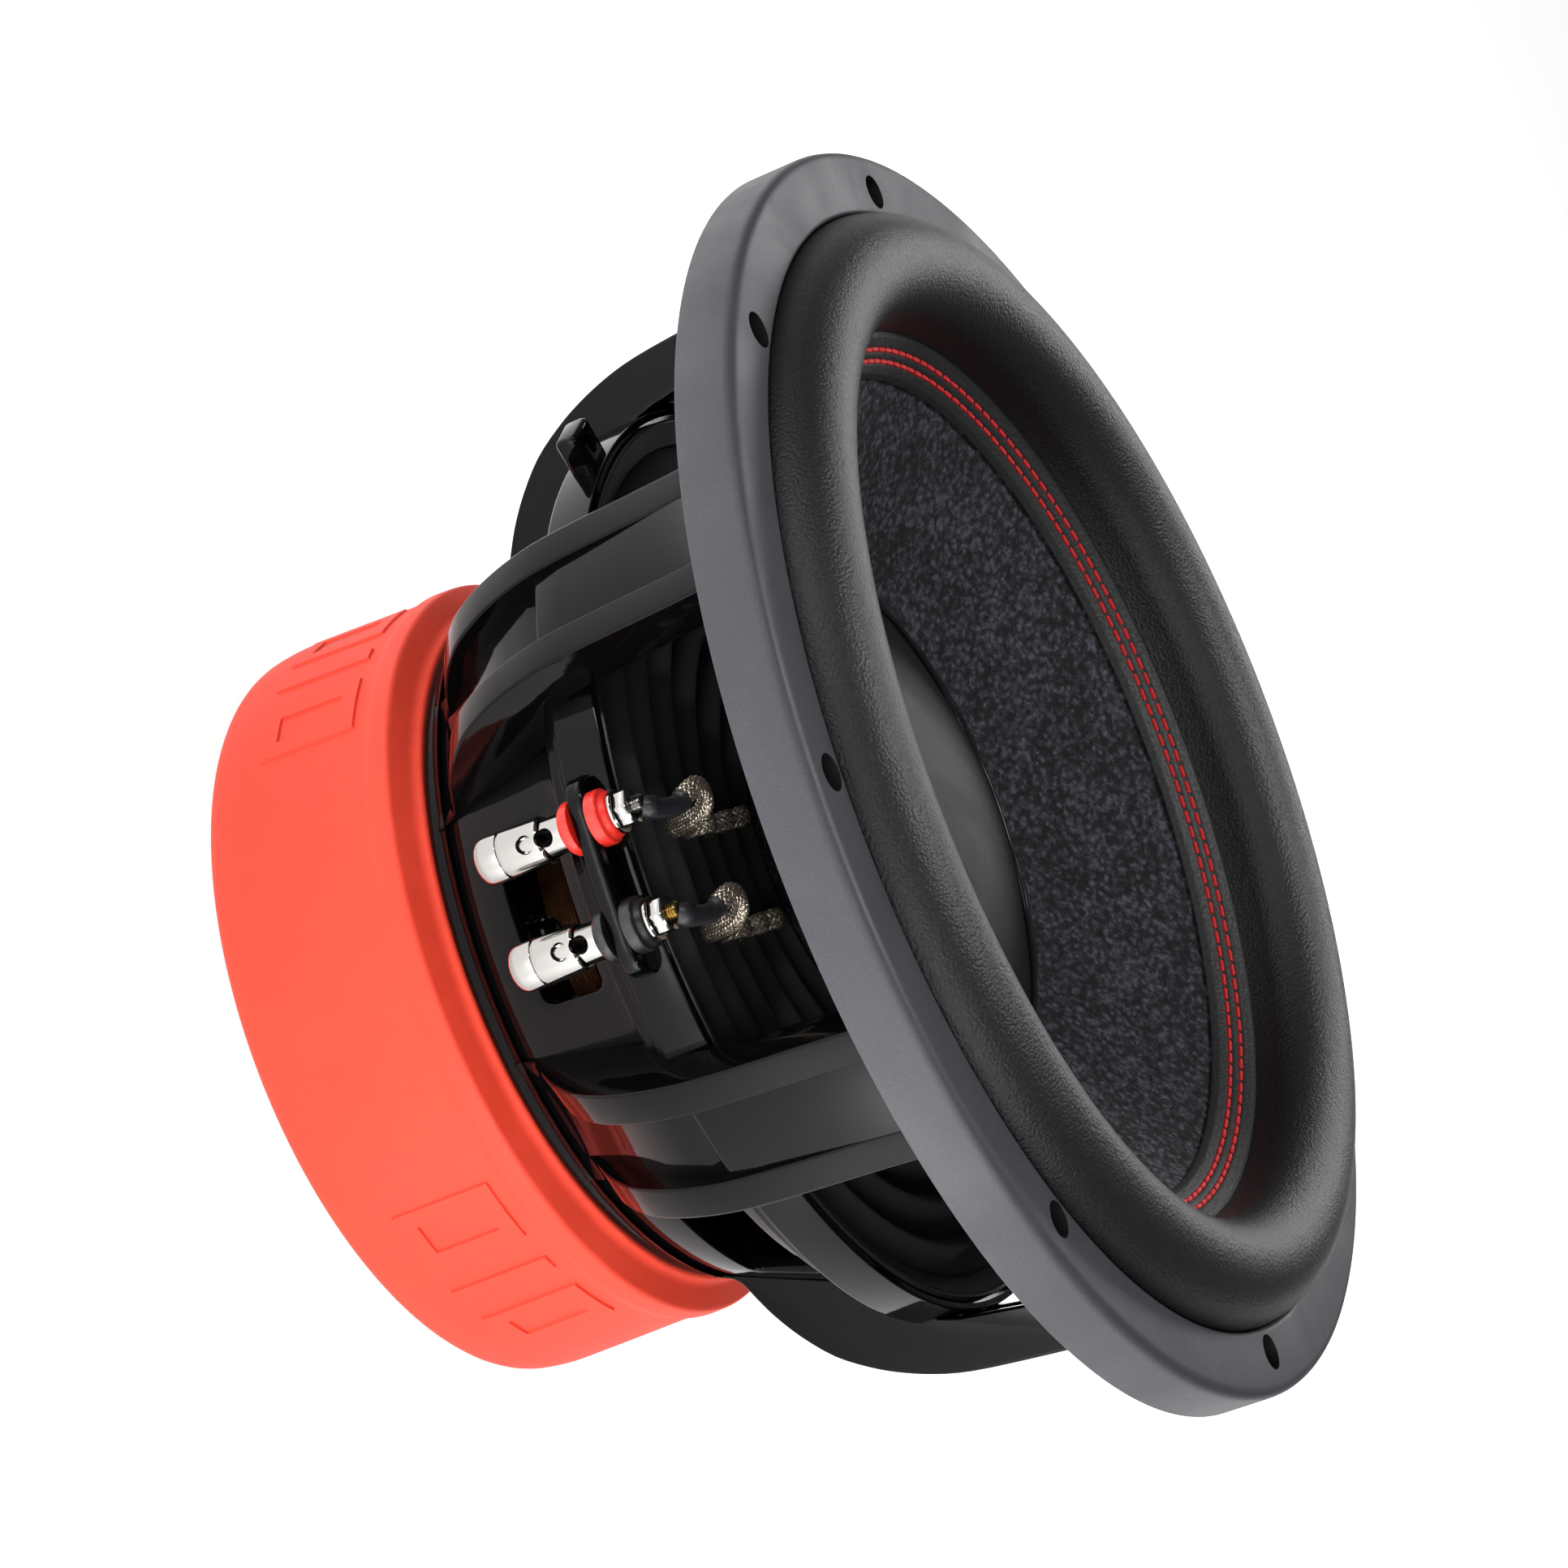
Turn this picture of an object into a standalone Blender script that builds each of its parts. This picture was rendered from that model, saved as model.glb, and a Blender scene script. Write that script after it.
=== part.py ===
"""A 12 inch car subwoofer: cast six-spoke basket, trim ring, half-roll surround, cone and dust cap,
coil and spider, ferrite motor in a rubber boot, and four spring-loaded push terminals.

Frame: metres, +Z up along the speaker's axis. The boot stands on z = 0 and the cone faces up.
The front pair of terminals is towards -Y and the rear pair towards +Y.
"""
import math

import bmesh
import bpy
import numpy as np
from mathutils import Matrix, Vector

# Driving dimensions, in metres
GAP = 0.0003                  # clearance between touching pieces
RING_R, RING_INNER_R = 0.159, 0.1427
RING_TOP, RING_BOTTOM = 0.1872, 0.1720
FLANGE_R, FLANGE_TOP = 0.1576, 0.1773
BOLT_CIRCLE_R, BOLT_HOLE_R, BOLT_COUNT = 0.1487, 0.0033, 8
RING_HOLE_R = 0.0039
SPOKE_COUNT, RIB_OFFSET, RIB_THICK = 6, 0.0136, 0.0085
BAND_R, BAND_BOTTOM, BAND_TOP = 0.1173, 0.1106, 0.1222
LANDING_Z, LANDING_INNER_R = 0.1180, 0.1040
BASE_R, BASE_BOTTOM, BASE_TOP, BASE_HOLE_R = 0.0895, 0.0594, 0.0642, 0.0460
TAB_BOTTOM, TAB_THICK, TAB_HALF_WIDTH, TAB_REACH = 0.1142, 0.0044, 0.0238, 0.1240
LUG_THICK, LUG_R, LUG_HOLE_R, LUG_REACH = 0.0070, 0.0070, 0.0025, 0.1215
SURROUND_MID_R, SURROUND_ROLL_R, SURROUND_WALL = 0.1285, 0.0138, 0.0020
ROLL_BASE_Z, CREST_Z = 0.1856, 0.1994
BAND_SEAM_R, BAND_SEAM_Z = 0.1147, 0.1796     # where the roll meets the stitched band
BAND_INNER_R, BAND_INNER_Z = 0.1055, 0.1722   # inner edge of the stitched band
CONE_OUTER_R, CONE_NECK_R, CONE_WALL = 0.1140, 0.0391, 0.0020
CONE_NECK_Z, CONE_SLOPE = 0.1206, 0.758
CAP_R, CAP_RISE, CAP_WALL = 0.0650, 0.0165, 0.0011
FORMER_INNER_R, FORMER_OUTER_R = 0.0382, 0.0388
FORMER_BOTTOM, FORMER_TOP = 0.0372, 0.1232
COIL_R, COIL_BOTTOM, COIL_TOP = 0.0411, 0.0392, 0.0692
SPIDER_Z, SPIDER_WAVE, SPIDER_PITCH, SPIDER_WALL = 0.1180, 0.0034, 0.0124, 0.0006
SPIDER_OUTER_R, SPIDER_WAVES = 0.1150, 5
TOP_PLATE_R, TOP_PLATE_BOTTOM, TOP_PLATE_TOP, TOP_PLATE_HOLE_R = 0.0872, 0.0499, 0.0591, 0.0424
MAGNET_R, MAGNET_HOLE_R, MAGNET_THICK = 0.0922, 0.0520, 0.0170
BACK_PLATE_R, BACK_PLATE_BOTTOM, BACK_PLATE_TOP = 0.0880, 0.0030, 0.0150
POLE_R, POLE_TOP, VENT_R = 0.0362, 0.0620, 0.0150
BOOT_R, BOOT_WALL, BOOT_LIP_R, BOOT_FLOOR = 0.0968, 0.0042, 0.0660, 0.0027
SCREW_CIRCLE_R, SCREW_HEAD_R, SCREW_WASHER_R = 0.0590, 0.0050, 0.0064
TERMINAL_Y, TERMINAL_HALF_PITCH = 0.1210, 0.01275
SLEEVE_BOTTOM, SLEEVE_TOP, SLEEVE_R, SLEEVE_BORE_R = 0.0877, 0.1057, 0.0057, 0.0050
POST_BOTTOM, POST_TOP, POST_R, STUD_R, STUD_TOP = 0.0967, 0.1107, 0.0047, 0.0022, 0.1310
WIRE_HOLE_R, WIRE_HOLE_Z, PRESS_TRAVEL = 0.0023, 0.1068, 0.0048
INSULATOR_R, PAD_X, BRACKET_X = 0.0064, 0.1143, 0.1158
SPRING_R, SPRING_WIRE_R, SPRING_TURNS = 0.0032, 0.00035, 4
LEAD_R, LUG_TUBE_R = 0.0018, 0.0026
# Route of one lead past its sleeve: distance in front of the axis, offset outwards, height
LEAD_ROUTE = [
    (0.1073, 0.0013, 0.1382), (0.1030, 0.0022, 0.1392), (0.0990, 0.0024, 0.1372), (0.0968, 0.0012, 0.1328),
    (0.0945, -0.0010, 0.1275), (0.0900, -0.0028, 0.1248), (0.0820, -0.0042, 0.1243), (0.0740, -0.0054, 0.1243),
    (0.0660, -0.0064, 0.1243), (0.0580, -0.0074, 0.1240), (0.0520, -0.0080, 0.1222), (0.0470, -0.0086, 0.1206),
]
SLEEVE_ROUTE = [(0.1154, 0.0, 0.1322), (0.1142, 0.0001, 0.1348), (0.1117, 0.0006, 0.1370), (0.1085, 0.0011, 0.1381)]

COLOURS = {
    "gloss_black": ((0.010, 0.010, 0.011), 0.12, 0.0),
    "ring_grey": ((0.040, 0.041, 0.046), 0.50, 0.0),
    "surround_black": ((0.018, 0.018, 0.019), 0.60, 0.0),
    "cone_fibre": ((0.020, 0.020, 0.024), 0.85, 0.0),
    "cap_black": ((0.012, 0.012, 0.013), 0.40, 0.0),
    "boot_red": ((0.850, 0.075, 0.045), 0.60, 0.0),
    "ferrite": ((0.060, 0.060, 0.062), 0.70, 0.0),
    "zinc_steel": ((0.550, 0.550, 0.560), 0.35, 1.0),
    "spider_cloth": ((0.015, 0.015, 0.016), 0.95, 0.0),
    "aluminium": ((0.700, 0.700, 0.720), 0.40, 1.0),
    "copper": ((0.720, 0.330, 0.180), 0.35, 1.0),
    "nickel": ((0.800, 0.780, 0.750), 0.12, 1.0),
    "insulator_red": ((0.800, 0.030, 0.020), 0.40, 0.0),
    "insulator_black": ((0.015, 0.015, 0.016), 0.40, 0.0),
    "shrink_black": ((0.012, 0.012, 0.013), 0.45, 0.0),
    "tinned_braid": ((0.520, 0.450, 0.360), 0.45, 1.0),
}


def clear_scene():
    """Remove whatever the startup file holds."""
    for obj in list(bpy.data.objects):
        bpy.data.objects.remove(obj, do_unlink=True)


def new_collection(name):
    collection = bpy.data.collections.new(name)
    bpy.context.scene.collection.children.link(collection)
    return collection


def make_materials():
    materials = {}
    for name, (colour, roughness, metallic) in COLOURS.items():
        material = bpy.data.materials.new(name)
        material.use_nodes = True
        shader = material.node_tree.nodes["Principled BSDF"]
        shader.inputs["Base Color"].default_value = (*colour, 1.0)
        shader.inputs["Roughness"].default_value = roughness
        shader.inputs["Metallic"].default_value = metallic
        materials[name] = material
    return materials


clear_scene()
PARTS = new_collection("car_subwoofer_speaker")
CUTTERS = new_collection("cutters")
MATERIALS = make_materials()


def place(obj, material=None, location=(0.0, 0.0, 0.0), angle=0.0, parent=None):
    """Put a finished object in the parts collection, or among the cutters when it has no material."""
    for collection in list(obj.users_collection):
        collection.objects.unlink(obj)
    (PARTS if material else CUTTERS).objects.link(obj)
    obj.location = location
    obj.rotation_euler = (0.0, 0.0, angle)
    obj.parent = parent
    if material:
        obj.data.materials.clear()
        obj.data.materials.append(MATERIALS[material])
    else:
        obj.hide_render = True
        obj.display_type = "WIRE"
    return obj


def mesh_object(name, bm):
    """An object from a bmesh, smooth except across its sharp edges."""
    mesh = bpy.data.meshes.new(name)
    bm.to_mesh(mesh)
    bm.free()
    mesh.shade_smooth()
    mesh.set_sharp_from_angle(angle=math.radians(30))
    return bpy.data.objects.new(name, mesh)


def turned(name, profile, segments=48, closed=True):
    """Turn a profile of (radius, z) points about Z. It runs outwards at the top and down the outer side."""
    mesh = bpy.data.meshes.new(name)
    count = len(profile)
    edges = [(i, i + 1) for i in range(count - 1)] + ([(count - 1, 0)] if closed else [])
    mesh.from_pydata([(r, 0.0, z) for r, z in profile], edges, [])
    obj = bpy.data.objects.new(name, mesh)
    screw = obj.modifiers.new("turn", "SCREW")
    screw.axis, screw.angle = "Z", 2 * math.pi
    screw.steps = screw.render_steps = segments
    screw.use_merge_vertices, screw.merge_threshold = True, 0.00001
    screw.use_smooth_shade = True
    return obj


def tube_profile(inner, outer, bottom, top):
    """A plain ring's section."""
    return [(inner, top), (outer, top), (outer, bottom), (inner, bottom)]


def outline_solid(name, points, thickness, to_world):
    """A flat outline, as a filled 2D curve with thickness, made a mesh and moved by a matrix."""
    curve = bpy.data.curves.new(name, "CURVE")
    curve.dimensions, curve.fill_mode, curve.extrude = "2D", "BOTH", thickness / 2
    spline = curve.splines.new("POLY")
    spline.points.add(len(points) - 1)
    for point, (u, v) in zip(spline.points, points):
        point.co = (u, v, 0.0, 1.0)
    spline.use_cyclic_u = True
    return curve_to_mesh(name, curve, to_world)


def curve_to_mesh(name, curve, to_world=None):
    """Turn a curve into a welded mesh object."""
    guide = bpy.data.objects.new(name + "_curve", curve)
    CUTTERS.objects.link(guide)
    evaluated = guide.evaluated_get(bpy.context.evaluated_depsgraph_get())
    mesh = bpy.data.meshes.new_from_object(evaluated)
    bpy.data.objects.remove(guide, do_unlink=True)
    bm = bmesh.new()
    bm.from_mesh(mesh)
    bmesh.ops.remove_doubles(bm, verts=bm.verts, dist=0.000005)
    if to_world:
        bmesh.ops.transform(bm, matrix=to_world, verts=bm.verts)
    bmesh.ops.recalc_face_normals(bm, faces=bm.faces)
    return mesh_object(name, bm)


def wire(name, points, radius, sides_level=1, cyclic=False):
    """A round wire along a list of points."""
    curve = bpy.data.curves.new(name, "CURVE")
    curve.dimensions, curve.bevel_depth, curve.bevel_resolution = "3D", radius, sides_level
    curve.use_fill_caps = not cyclic
    spline = curve.splines.new("POLY")
    spline.points.add(len(points) - 1)
    for point, position in zip(spline.points, points):
        point.co = (*position, 1.0)
    spline.use_cyclic_u = cyclic
    return curve_to_mesh(name, curve)


def box(name, size, centre):
    bm = bmesh.new()
    bmesh.ops.create_cube(bm, size=1.0, matrix=Matrix.Translation(centre) @ Matrix.Diagonal((*size, 1.0)))
    return mesh_object(name, bm)


def cylinder(name, radius, bottom, top, centre=(0.0, 0.0), segments=16, along_y=False):
    """A closed cylinder along Z, or along Y between y = bottom and y = top at (x, z) = centre."""
    bm = bmesh.new()
    if along_y:
        matrix = Matrix.Translation((centre[0], (bottom + top) / 2, centre[1])) @ Matrix.Rotation(math.pi / 2, 4, "X")
    else:
        matrix = Matrix.Translation((centre[0], centre[1], (bottom + top) / 2))
    bmesh.ops.create_cone(bm, cap_ends=True, segments=segments, radius1=radius, radius2=radius,
                          depth=top - bottom, matrix=matrix)
    return mesh_object(name, bm)


def boolean(obj, operation, others, name):
    """Join or cut an object with several others, held in a collection of their own."""
    group = bpy.data.collections.new(name)
    CUTTERS.children.link(group)
    for other in others:
        place(other, angle=other.rotation_euler.z)
        CUTTERS.objects.unlink(other)
        group.objects.link(other)
    modifier = obj.modifiers.new(name, "BOOLEAN")
    modifier.operation, modifier.solver = operation, "EXACT"
    modifier.operand_type, modifier.collection = "COLLECTION", group


def arc(centre, radius, start_deg, end_deg, steps):
    """Points on a circle's arc, both ends included."""
    angles = np.radians(np.linspace(start_deg, end_deg, steps + 1))
    return [(centre[0] + radius * math.cos(a), centre[1] + radius * math.sin(a)) for a in angles]


def smooth_route(points, steps):
    """A Catmull-Rom curve through the points, with so many steps on each span."""
    knots = [Vector(p) for p in points]
    knots = [2 * knots[0] - knots[1]] + knots + [2 * knots[-1] - knots[-2]]
    route = []
    for a, b, c, d in zip(knots, knots[1:], knots[2:], knots[3:]):
        for step in range(steps):
            t = step / steps
            route.append(0.5 * (2 * b + (c - a) * t + (2 * a - 5 * b + 4 * c - d) * t * t
                                + (3 * b - a - 3 * c + d) * t ** 3))
    return route + [knots[-2]]


def standing_plane(angle, offset):
    """A matrix that stands a (distance, height) outline up at an angle about Z, shifted sideways."""
    turn = Matrix.Rotation(angle, 4, "Z")
    stand = Matrix(((1, 0, 0, 0), (0, 0, -1, offset), (0, 1, 0, 0), (0, 0, 0, 1)))
    return turn @ stand


# ---------------------------------------------------------------- basket and trim ring

SPOKE_FACE = [(0.1365, RING_BOTTOM + 0.002), (0.1323, 0.1352), (0.1307, 0.1200), (0.1255, 0.1018), (0.1196, 0.0910),
              (0.1098, 0.0800), (0.0990, 0.0725), (0.0915, 0.0684), (0.0893, 0.0630)]
LUG_WINDOWS = (0, 3)


def rib_outline():
    """One rib of a spoke: a face that bends in to the base, and a straight back."""
    back = [(0.0880, 0.0615), (0.0905, 0.0690), (0.0935, 0.0780), (0.1010, 0.0985), (0.1150, 0.1160),
            (0.1155, 0.1212), (0.1245, RING_BOTTOM + 0.002)]
    return SPOKE_FACE + back


def web_outline():
    """The plate between a spoke's two ribs, set back from their faces at its lower edge."""
    top = RING_BOTTOM + 0.002
    return [(0.1362, top), (0.1300, 0.1250), (0.1272, 0.1160), (0.1232, 0.1160), (0.1262, top)]


def make_basket():
    """The casting: base flange, stepped bowl with windows, landing, spokes and mounting flange."""
    bowl = [
        (0.1155, BAND_TOP), (BAND_R, BAND_TOP), (BAND_R, BAND_BOTTOM), (0.1130, 0.1100), (0.1105, 0.1040),
        (0.1045, 0.1026), (0.0925, 0.0690),
        (BASE_R, BASE_TOP), (BASE_R, BASE_BOTTOM), (BASE_HOLE_R, BASE_BOTTOM), (BASE_HOLE_R, BASE_TOP - 0.0006),
        (0.0850, BASE_TOP - 0.0006), (0.1000, 0.1030), (LANDING_INNER_R, 0.1090), (LANDING_INNER_R, LANDING_Z),
        (0.1155, LANDING_Z),
    ]
    basket = turned("basket", bowl, segments=48)
    flange = turned("flange", [(0.1320, FLANGE_TOP), (FLANGE_R, FLANGE_TOP), (FLANGE_R, RING_BOTTOM),
                               (0.1230, RING_BOTTOM), (0.1230, RING_BOTTOM + 0.0042)], segments=48)
    joined = [flange]
    for k in range(SPOKE_COUNT):
        angle = 2 * math.pi * k / SPOKE_COUNT
        for side in (-1, 1):
            plane = standing_plane(angle, side * RIB_OFFSET)
            joined.append(outline_solid(f"rib_{k}_{side}", rib_outline(), RIB_THICK, plane))
        joined.append(outline_solid(f"web_{k}", web_outline(), 2 * RIB_OFFSET - 0.004, standing_plane(angle, 0.0)))
    cuts = []
    for k in range(SPOKE_COUNT):
        angle = math.radians(30 + 60 * k)
        away = Matrix.Rotation(angle, 4, "Z")
        is_tab = k in (1, 4)
        half = TAB_HALF_WIDTH if is_tab else LUG_R
        reach, thick = (TAB_REACH, TAB_THICK) if is_tab else (LUG_REACH, LUG_THICK)
        if is_tab or k in LUG_WINDOWS:
            bracket = box(f"bracket_{k}", (reach - BRACKET_X, 2 * half, thick),
                          ((reach + BRACKET_X) / 2, 0.0, TAB_BOTTOM + thick / 2))
            bracket.data.transform(away)
            joined.append(bracket)
        holes = []
        if is_tab:
            # flats behind the tab, where the terminals would touch the round band
            for low, high in ((0.1040, TAB_BOTTOM), (TAB_BOTTOM + TAB_THICK, 0.1260)):
                flat = box(f"flat_{k}_{low}", (0.020, 0.052, high - low), (PAD_X + 0.010, 0.0, (low + high) / 2))
                flat.data.transform(away)
                cuts.append(flat)
            holes = [(TERMINAL_Y, side * TERMINAL_HALF_PITCH, 0.0044) for side in (-1, 1)]
        elif k in LUG_WINDOWS:
            end = cylinder(f"lug_end_{k}", LUG_R, TAB_BOTTOM, TAB_BOTTOM + LUG_THICK, (LUG_REACH, 0.0))
            end.data.transform(away)
            joined.append(end)
            holes = [(LUG_REACH, 0.0, LUG_HOLE_R)]
        for x, y, radius in holes:
            hole = cylinder(f"bracket_hole_{k}_{y}", radius, TAB_BOTTOM - 0.002, TAB_BOTTOM + 0.010, (x, y), 8)
            hole.data.transform(away)
            cuts.append(hole)
        window = box(f"bowl_window_{k}", (0.040, 0.041, 0.0185), (0.1000, 0.0, 0.08825))
        window.data.transform(away)
        cuts.append(window)
        screw = cylinder(f"screw_hole_{k}", 0.0024, BASE_BOTTOM - 0.002, BASE_TOP + 0.002, (SCREW_CIRCLE_R, 0.0), 6)
        screw.data.transform(away)
        cuts.append(screw)
    for k in range(BOLT_COUNT):
        bolt = cylinder(f"flange_hole_{k}", BOLT_HOLE_R, RING_BOTTOM - 0.002, FLANGE_TOP + 0.002,
                        (BOLT_CIRCLE_R, 0.0), 8)
        bolt.data.transform(Matrix.Rotation(2 * math.pi * k / BOLT_COUNT, 4, "Z"))
        cuts.append(bolt)
    boolean(basket, "UNION", joined, "basket_joined")
    boolean(basket, "DIFFERENCE", cuts, "basket_cut")
    place(basket, "gloss_black")


def make_trim_ring():
    """The moulded ring that caps the flange, with a skirt round its edge and eight bolt holes."""
    skirt_r = FLANGE_R + GAP
    ring = turned("trim_ring", [
        (RING_INNER_R + 0.001, RING_TOP), (RING_R - 0.0016, RING_TOP), (RING_R - 0.0005, RING_TOP - 0.0005),
        (RING_R, RING_TOP - 0.0016), (RING_R, RING_BOTTOM), (skirt_r, RING_BOTTOM),
        (skirt_r, FLANGE_TOP + GAP), (RING_INNER_R, FLANGE_TOP + GAP), (RING_INNER_R, RING_TOP - 0.001)], segments=48)
    holes = []
    for k in range(BOLT_COUNT):
        hole = cylinder(f"ring_hole_{k}", RING_HOLE_R, FLANGE_TOP - 0.002, RING_TOP + 0.002, (BOLT_CIRCLE_R, 0.0), 8)
        hole.data.transform(Matrix.Rotation(2 * math.pi * k / BOLT_COUNT, 4, "Z"))
        holes.append(hole)
    boolean(ring, "DIFFERENCE", holes, "ring_cut")
    place(ring, "ring_grey")


# ---------------------------------------------------------------- moving system

def cone_front(radius):
    """Height of the cone's front surface at a radius."""
    return CONE_NECK_Z + (radius - CONE_NECK_R) * CONE_SLOPE


def make_surround():
    """The half-roll, with a flat outer land and the stitched band that lies on the cone."""
    inner_roll = SURROUND_ROLL_R - SURROUND_WALL
    outer_side, inner_side = SURROUND_MID_R + SURROUND_ROLL_R, SURROUND_MID_R - SURROUND_ROLL_R
    centre = (SURROUND_MID_R, ROLL_BASE_Z)
    land_bottom = FLANGE_TOP + GAP
    outer = arc(centre, SURROUND_ROLL_R, 180, 0, 6)
    inner = arc(centre, inner_roll, 0, 180, 4)
    profile = [(BAND_INNER_R, BAND_INNER_Z), (inner_side, BAND_SEAM_Z)] + outer
    profile += [(outer_side, land_bottom + SURROUND_WALL), (outer_side, land_bottom), (0.1345, land_bottom),
                (0.1345, land_bottom + 0.0014), (outer_side - SURROUND_WALL, land_bottom + SURROUND_WALL)]
    profile += inner
    band_bottom = cone_front(inner_side + SURROUND_WALL) + GAP
    profile += [(inner_side + SURROUND_WALL, band_bottom), (BAND_INNER_R, cone_front(BAND_INNER_R) + GAP)]
    place(turned("surround", profile, segments=48), "surround_black")


def make_cone():
    """The paper cone, a straight-sided shell."""
    back = CONE_WALL
    profile = [(CONE_NECK_R, cone_front(CONE_NECK_R)), (CONE_OUTER_R, cone_front(CONE_OUTER_R)),
               (CONE_OUTER_R, cone_front(CONE_OUTER_R) - back), (CONE_NECK_R, cone_front(CONE_NECK_R) - back)]
    place(turned("cone", profile, segments=40), "cone_fibre")


def make_dust_cap():
    """A shallow dome glued to the cone."""
    base = cone_front(CAP_R) + GAP
    radius = (CAP_R ** 2 + CAP_RISE ** 2) / (2 * CAP_RISE)
    half_angle = math.degrees(math.asin(CAP_R / radius))
    centre = (0.0, base + CAP_RISE - radius)
    outer = arc(centre, radius, 90, 90 - half_angle, 5)
    inner_angle = math.degrees(math.acos((base - centre[1]) / (radius - CAP_WALL)))
    inner = arc(centre, radius - CAP_WALL, 90 - inner_angle, 90, 5)
    profile = [(0.0, outer[0][1])] + outer[1:] + inner[:-1] + [(0.0, inner[-1][1])]
    cap = turned("dust_cap", profile, segments=32, closed=False)
    place(cap, "cap_black")


def make_coil():
    """The former tube and the winding on its lower end."""
    former = turned("coil_former", tube_profile(FORMER_INNER_R, FORMER_OUTER_R, FORMER_BOTTOM, FORMER_TOP), 32)
    place(former, "aluminium")
    place(turned("voice_coil", tube_profile(FORMER_OUTER_R + GAP, COIL_R, COIL_BOTTOM, COIL_TOP), 32), "copper")


def spider_mid_line():
    """Crests and troughs of the corrugated cloth, from the former to the outer land."""
    line = [(CONE_NECK_R, SPIDER_Z - 0.0024), (0.0430, SPIDER_Z - 0.0024)]
    for k in range(2 * SPIDER_WAVES):
        radius = 0.0480 + SPIDER_PITCH * k / 2
        height = SPIDER_WAVE if k % 2 else -SPIDER_WAVE
        line.append((radius, SPIDER_Z + height * min(1.0, 0.4 + 0.3 * k)))
    return line + [(LANDING_INNER_R + 0.0004, SPIDER_Z + GAP), (SPIDER_OUTER_R, SPIDER_Z + GAP)]


def make_spider():
    """The corrugated cloth that centres the coil, and the ring that holds its edge down."""
    line = spider_mid_line()
    top = [(r, z + SPIDER_WALL) for r, z in line]
    place(turned("spider", top + line[::-1], segments=28), "spider_cloth")
    base = SPIDER_Z + SPIDER_WALL + 2 * GAP
    ring = turned("spider_ring", [(0.1082, base + 0.0008), (0.1130, 0.1222), (0.1142, 0.1230),
                                  (0.1146, 0.1222), (0.1146, base), (0.1082, base)], segments=40)
    place(ring, "insulator_black")


# ---------------------------------------------------------------- motor

def make_motor():
    """Top plate, two ferrite rings, the back plate with its vented pole, and a copper sleeve on the pole."""
    plate = tube_profile(TOP_PLATE_HOLE_R, TOP_PLATE_R, TOP_PLATE_BOTTOM, TOP_PLATE_TOP)
    top_plate = turned("top_plate", plate, 40)
    holes = []
    for k in range(SPOKE_COUNT):
        hole = cylinder(f"plate_hole_{k}", 0.0024, TOP_PLATE_TOP - 0.0062, TOP_PLATE_TOP + 0.002,
                        (SCREW_CIRCLE_R, 0.0), 6)
        hole.data.transform(Matrix.Rotation(math.radians(30 + 60 * k), 4, "Z"))
        holes.append(hole)
    boolean(top_plate, "DIFFERENCE", holes, "top_plate_cut")
    place(top_plate, "zinc_steel")
    bottom = BACK_PLATE_TOP + GAP
    for name in ("magnet_rear", "magnet_front"):
        ring = tube_profile(MAGNET_HOLE_R, MAGNET_R, bottom, bottom + MAGNET_THICK)
        place(turned(name, ring, 36), "ferrite")
        bottom += MAGNET_THICK + GAP
    yoke = turned("back_plate", [
        (VENT_R, POLE_TOP), (POLE_R, POLE_TOP), (POLE_R, BACK_PLATE_TOP), (BACK_PLATE_R, BACK_PLATE_TOP),
        (BACK_PLATE_R, BACK_PLATE_BOTTOM), (VENT_R + 0.006, BACK_PLATE_BOTTOM), (VENT_R, BACK_PLATE_BOTTOM + 0.006)],
        segments=32)
    place(yoke, "zinc_steel")
    sleeve = tube_profile(POLE_R + GAP, POLE_R + 0.0010, 0.0440, POLE_TOP)
    place(turned("shorting_sleeve", sleeve, 32), "copper")


def make_boot():
    """The rubber boot: a slightly tapered wall, a bead and chamfer at the front, an inward lip at the back."""
    inner_r = BOOT_R - BOOT_WALL
    boot = turned("magnet_boot", [
        (0.0876, 0.0590), (0.0890, 0.0588), (0.0905, 0.0570), (0.0964, 0.0535), (0.0965, 0.0490), (0.0957, 0.0455),
        (BOOT_R, 0.0080), (0.0955, 0.0026), (0.0920, 0.0), (BOOT_LIP_R, 0.0), (BOOT_LIP_R, BOOT_FLOOR),
        (0.0885, BOOT_FLOOR), (inner_r, 0.0075), (inner_r, 0.0500), (0.0876, 0.0535)], segments=40)
    place(boot, "boot_red")


def make_screws():
    """Pan-head screws with washers that hold the basket to the top plate."""
    washer = 0.0009
    head = BASE_TOP - 0.0006 + GAP
    profile = [(0.0, head + washer + 0.0072), (0.0026, head + washer + 0.0069), (SCREW_HEAD_R, head + washer + 0.0046),
               (SCREW_HEAD_R, head + washer), (SCREW_WASHER_R, head + washer), (SCREW_WASHER_R, head),
               (0.0020, head), (0.0020, TOP_PLATE_TOP - 0.0055), (0.0, TOP_PLATE_TOP - 0.0055)]
    first = turned("basket_screw_1", profile, segments=10, closed=False)
    for k in range(SPOKE_COUNT):
        angle = math.radians(30 + 60 * k)
        screw = first if k == 0 else turned(f"basket_screw_{k + 1}", profile, segments=10, closed=False)
        place(screw, "zinc_steel", (SCREW_CIRCLE_R * math.cos(angle), SCREW_CIRCLE_R * math.sin(angle), 0.0))


# ---------------------------------------------------------------- terminals and leads

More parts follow.
